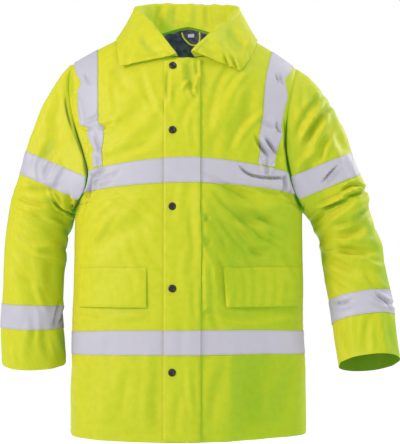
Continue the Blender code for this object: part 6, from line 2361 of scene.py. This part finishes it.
@dataclass
class Neck:
    """What shows inside the neck: the lining, the hanger loop and a blank label."""

    shop: Shop
    shell_wall: float = 0.0022
    lining_lift: float = 0.0018
    lining_wall: float = 0.0008
    lining_swell: float = 0.0008
    lining_press: float = 0.0012
    lining_short: float = 0.007
    cells: int = 48
    row_steps: tuple[float, float] = (0.020, 0.012)
    deeper: float = 0.0040
    low_row: float = -0.92
    high_row: float = 0.999
    loop_route: Table = Table(("x", "z"), (
        (-0.0163, 0.0165), (-0.0125, 0.0075), (-0.005, -0.0005), (0.004, -0.0065), (0.013, -0.0095),
        (0.0205, -0.008), (0.0255, -0.0025), (0.0276, 0.006), (0.0272, 0.0165)))
    loop_radius: float = 0.0015
    loop_gap: float = 0.0022
    loop_sides: int = 16
    strands: int = 3
    strand_depth: float = 0.10
    lay: float = 0.012           # length of one turn of the cord's strands
    label_box: tuple[float, float, float, float] = (-0.002, 0.014, 0.0065, 0.0135)
    label_gaps: tuple[float, float] = (0.0011, 0.0007)

    def make(self) -> None:
        """Makes the lining, the loop and the label."""
        shares = np.linspace(0, 1, self.cells + 1)
        rows = split_rows(self.low_row, self.high_row, self.row_steps)
        depth = self.shell_wall + self.lining_lift + self.deeper * np.clip(-2 * rows, 0, 1)[:, None]
        outer, inner = (shortened(self.lined(rows, shares, depth + wall), self.lining_short)
                        for wall in (0.0, self.lining_wall))
        piece = register(cloth_piece("lining_cloth", inner, outer, self.shop.finishes.lining), Slot.LINING,
                         "lining_back")
        declare(piece, inner, ["shell_back"])
        self.make_loop()
        self.make_label()

    def lined(self, rows: Array, shares: Array, depth: Array) -> Array:
        """Grid of the lining inside the back.

        Args:
            rows: Rows up the lining.
            shares: Shares of the way from the centre to the side.
            depth: Distance inside the back, row by row.

        Returns:
            The grid, from the right side to the left.
        """
        form, halves = self.shop.body.form, []
        for side in Side:
            turns, rises = form.places(Face.BACK, side, rows, shares)
            rises = np.broadcast_to(rises, turns.shape)
            points = form.point(Face.BACK, side, turns, rises)
            normals = form.normal(Face.BACK, side, turns, rises)
            small = LINING_CREASES.lift(points, -normals) + self.lining_swell * rumple(points, 0.05, 31)
            # Creases stand into the neck only, so the lining stays off the back.
            small = np.maximum(small, -self.lining_swell) * ease(1 - rises, 0.0, 0.06)
            sunk = np.maximum(-self.shop.body.height(Face.BACK, side, points, normals, rises), 0)
            halves.append(points - normals * (depth + small + sunk)[..., None])
        return np.concatenate([halves[0][:, ::-1], halves[1][:, 1:]], axis=1)

    def inside(self, x: Array, z: Array, deeper: float) -> Array:
        """Points inside the back of the neck.

        Args:
            x: Distances from the centre, to the wearer's left.
            z: Heights.
            deeper: How much deeper than the lining they are.

        Returns:
            The points.
        """
        form = self.shop.body.form
        points = np.empty((len(x), 3))
        depth = self.shell_wall + self.lining_lift + self.lining_press + deeper
        for side in Side:
            own = (x < 0) == (side == Side.RIGHT)
            out = np.abs(x[own])
            rise = form.rise_of(side, Face.BACK, out, z[own])
            turn = form.turn_of(out, rise)
            points[own] = (form.point(Face.BACK, side, turn, rise)
                           - form.normal(Face.BACK, side, turn, rise) * depth)
        return points

    def make_loop(self) -> None:
        """Makes the hanger loop: a twisted cord sewn in at both ends."""
        knots, places = np.linspace(0, 1, len(self.loop_route.rows)), np.linspace(0, 1, 61)
        x, z = (smooth(places, knots, self.loop_route.column(axis)) for axis in "xz")
        route = self.inside(x, z, self.loop_radius + self.loop_gap)
        tangent = unit(np.gradient(route, axis=0))
        first = unit(np.cross(tangent, (0.0, 1.0, 0.0)))
        second = np.cross(tangent, first)
        travel, sides = path_lengths(route), self.loop_sides
        angle = np.arange(sides)[None, :] * 2 * np.pi / sides
        strands = np.cos(self.strands * (angle + travel[:, None] * 2 * np.pi / self.lay))
        radius = (self.loop_radius * (1 + self.strand_depth * strands))[..., None]
        points = route[:, None] + radius * (np.cos(angle)[..., None] * first[:, None]
                                            + np.sin(angle)[..., None] * second[:, None])
        faces = quads(len(route), sides, True).tolist()
        faces += [tuple(range(sides))[::-1], tuple(range((len(route) - 1) * sides, len(route) * sides))]
        cord = new_piece("hanger_cord", points, faces, self.shop.finishes.cord,
                         stacked(travel[:, None], angle * self.loop_radius, 0.0))
        register(cord, Slot.SHELL, "hanger_loop")
        length, path = float(travel[-1]), [tuple(map(float, point)) for point in route]
        LOG.info("hanger_cord: %.4f m long", length)
        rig.cord(cord, exit=path[0], length=length, diameter=2 * self.loop_radius, far_end="object",
                stiffness="medium", path=path)

    def make_label(self) -> None:
        """Makes a small blank woven label under the neck seam."""
        left, right, low, high = self.label_box
        x, z = np.meshgrid(np.linspace(left, right, 9), np.linspace(low, high, 5))
        outer, inner = (self.inside(x.ravel(), z.ravel(), gap).reshape(x.shape + (3,))
                        for gap in self.label_gaps)
        register(cloth_piece("neck_label", outer, inner, self.shop.finishes.tape), Slot.TAPE)


# ---------------------------------------------------------------- the studio
@dataclass
class Studio:
    """Floor, soft light and camera."""

    finishes: Wardrobe
    floor_z: float = -1.45
    floor_half: float = 9.0
    camera_place: tuple[float, float, float] = (0.026, -2.4, -0.519)
    camera_rise: float = math.atan(48 / 1109)
    sensor: float = 36.0
    lens: float = 1109 / 444 * 36
    key_place: tuple[float, float, float] = (-2.6, -1.85, 0.8)
    key_size: float = 1.1
    key_power: float = 77.0
    top_place: tuple[float, float, float] = (0.9, -0.75, 1.9)
    top_size: float = 1.4
    top_power: float = 29.0
    back_place: tuple[float, float, float] = (2.5, 1.6, 1.2)
    back_size: float = 1.6
    back_power: float = 56.0
    bright_side: tuple[float, float, float] = (0.10, -0.30, 0.95)
    bright_room: float = 0.22
    dim_room: float = 0.02
    room_light: str = "#F6F7FF"
    room_colour: str = "#FFFFFF"
    lamp_aim: tuple[float, float, float] = (0.0, 0.0, -0.4)

    def make(self) -> None:
        """Makes the studio."""
        self.make_floor()
        self.make_world()
        self.make_lamp("key_softbox", self.key_place, self.key_size, self.key_power)
        self.make_lamp("top_softbox", self.top_place, self.top_size, self.top_power)
        self.make_lamp("back_softbox", self.back_place, self.back_size, self.back_power)
        camera = bpy.data.cameras.new("camera")
        camera.sensor_fit = "VERTICAL"
        camera.sensor_height = self.sensor
        camera.lens = self.lens
        stand = new_object("camera", camera)
        stand.location = self.camera_place
        stand.rotation_euler = (math.pi / 2 + self.camera_rise, 0.0, 0.0)
        bpy.context.scene.camera = stand
        bpy.context.scene.view_settings.view_transform = "Standard"

    def make_floor(self) -> None:
        """Makes the floor and stages it."""
        ends = (-self.floor_half, self.floor_half)
        corners = np.array([(x, y, self.floor_z) for y in ends for x in ends])
        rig.stage(new_piece("studio_floor", corners, [(0, 1, 3, 2)], self.finishes.floor))

    def make_world(self) -> None:
        """Makes a white room that lights dimly, and more from its bright side."""
        world = bpy.data.worlds.new("studio")
        bpy.context.scene.world = world
        world.use_nodes = True
        tree = world.node_tree
        tree.nodes.clear()
        seen = add_node(tree, "LightPath").outputs["Is Camera Ray"]
        way = add_node(tree, "TexCoord").outputs["Generated"]
        toward = add_node(tree, "VectorMath", {"operation": "DOT_PRODUCT", 0: way, 1: self.bright_side})
        glow = add_node(tree, "MapRange", {"From Min": -1.0, "From Max": 1.0, "To Min": self.dim_room,
                                           "To Max": self.bright_room, "Value": toward.outputs["Value"]})
        lit = add_node(tree, "Background", {"Color": linear(self.room_light), "Strength": glow.outputs[0]})
        shown = add_node(tree, "Background", {"Color": linear(self.room_colour), "Strength": 1.0})
        mixed = add_node(tree, "MixShader", {0: seen, 1: lit.outputs[0], 2: shown.outputs[0]})
        add_node(tree, "OutputWorld", {"Surface": mixed.outputs[0]})

    def make_lamp(self, name: str, place: tuple[float, float, float], size: float, power: float) -> None:
        """Makes a softbox that looks at the jacket.

        Args:
            name: Its name.
            place: Where it stands.
            size: Its side.
            power: Its power.
        """
        light = bpy.data.lights.new(name, "AREA")
        light.size = size
        light.energy = power
        stand = new_object(name, light)
        stand.location = place
        toward = Vector(self.lamp_aim) - Vector(place)
        stand.rotation_euler = toward.to_track_quat("-Z", "Y").to_euler()


def main() -> None:
    """Builds the jacket and its studio."""
    logging.basicConfig(level=logging.INFO, format="%(name)s: %(message)s")
    finishes = Wardrobe()
    body = BodyCloth()
    shop = Shop(finishes, body, Stitcher())
    Studio(finishes).make()
    BodyPanels(shop).make()
    Braces(shop).make()
    Sleeve(shop, "right", SleeveCloth(right_sleeve(body.form), RIGHT_SLEEVE_CREASES)).make()
    Sleeve(shop, "left", SleeveCloth(left_sleeve(body.form), LEFT_SLEEVE_CREASES, cuff_slant=0.0070)).make()
    StormFlap(shop).make()
    PocketFlaps(shop).make()
    Collar(shop).make()
    Neck(shop).make()
    with open("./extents.json", "w", encoding="utf-8") as file:
        json.dump({"cad": [list(map(float, corner)) for corner in CAD_BOX],
                   "visual": [list(map(float, corner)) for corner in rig.bounds()]}, file)


if __name__ == "__main__":
    main()
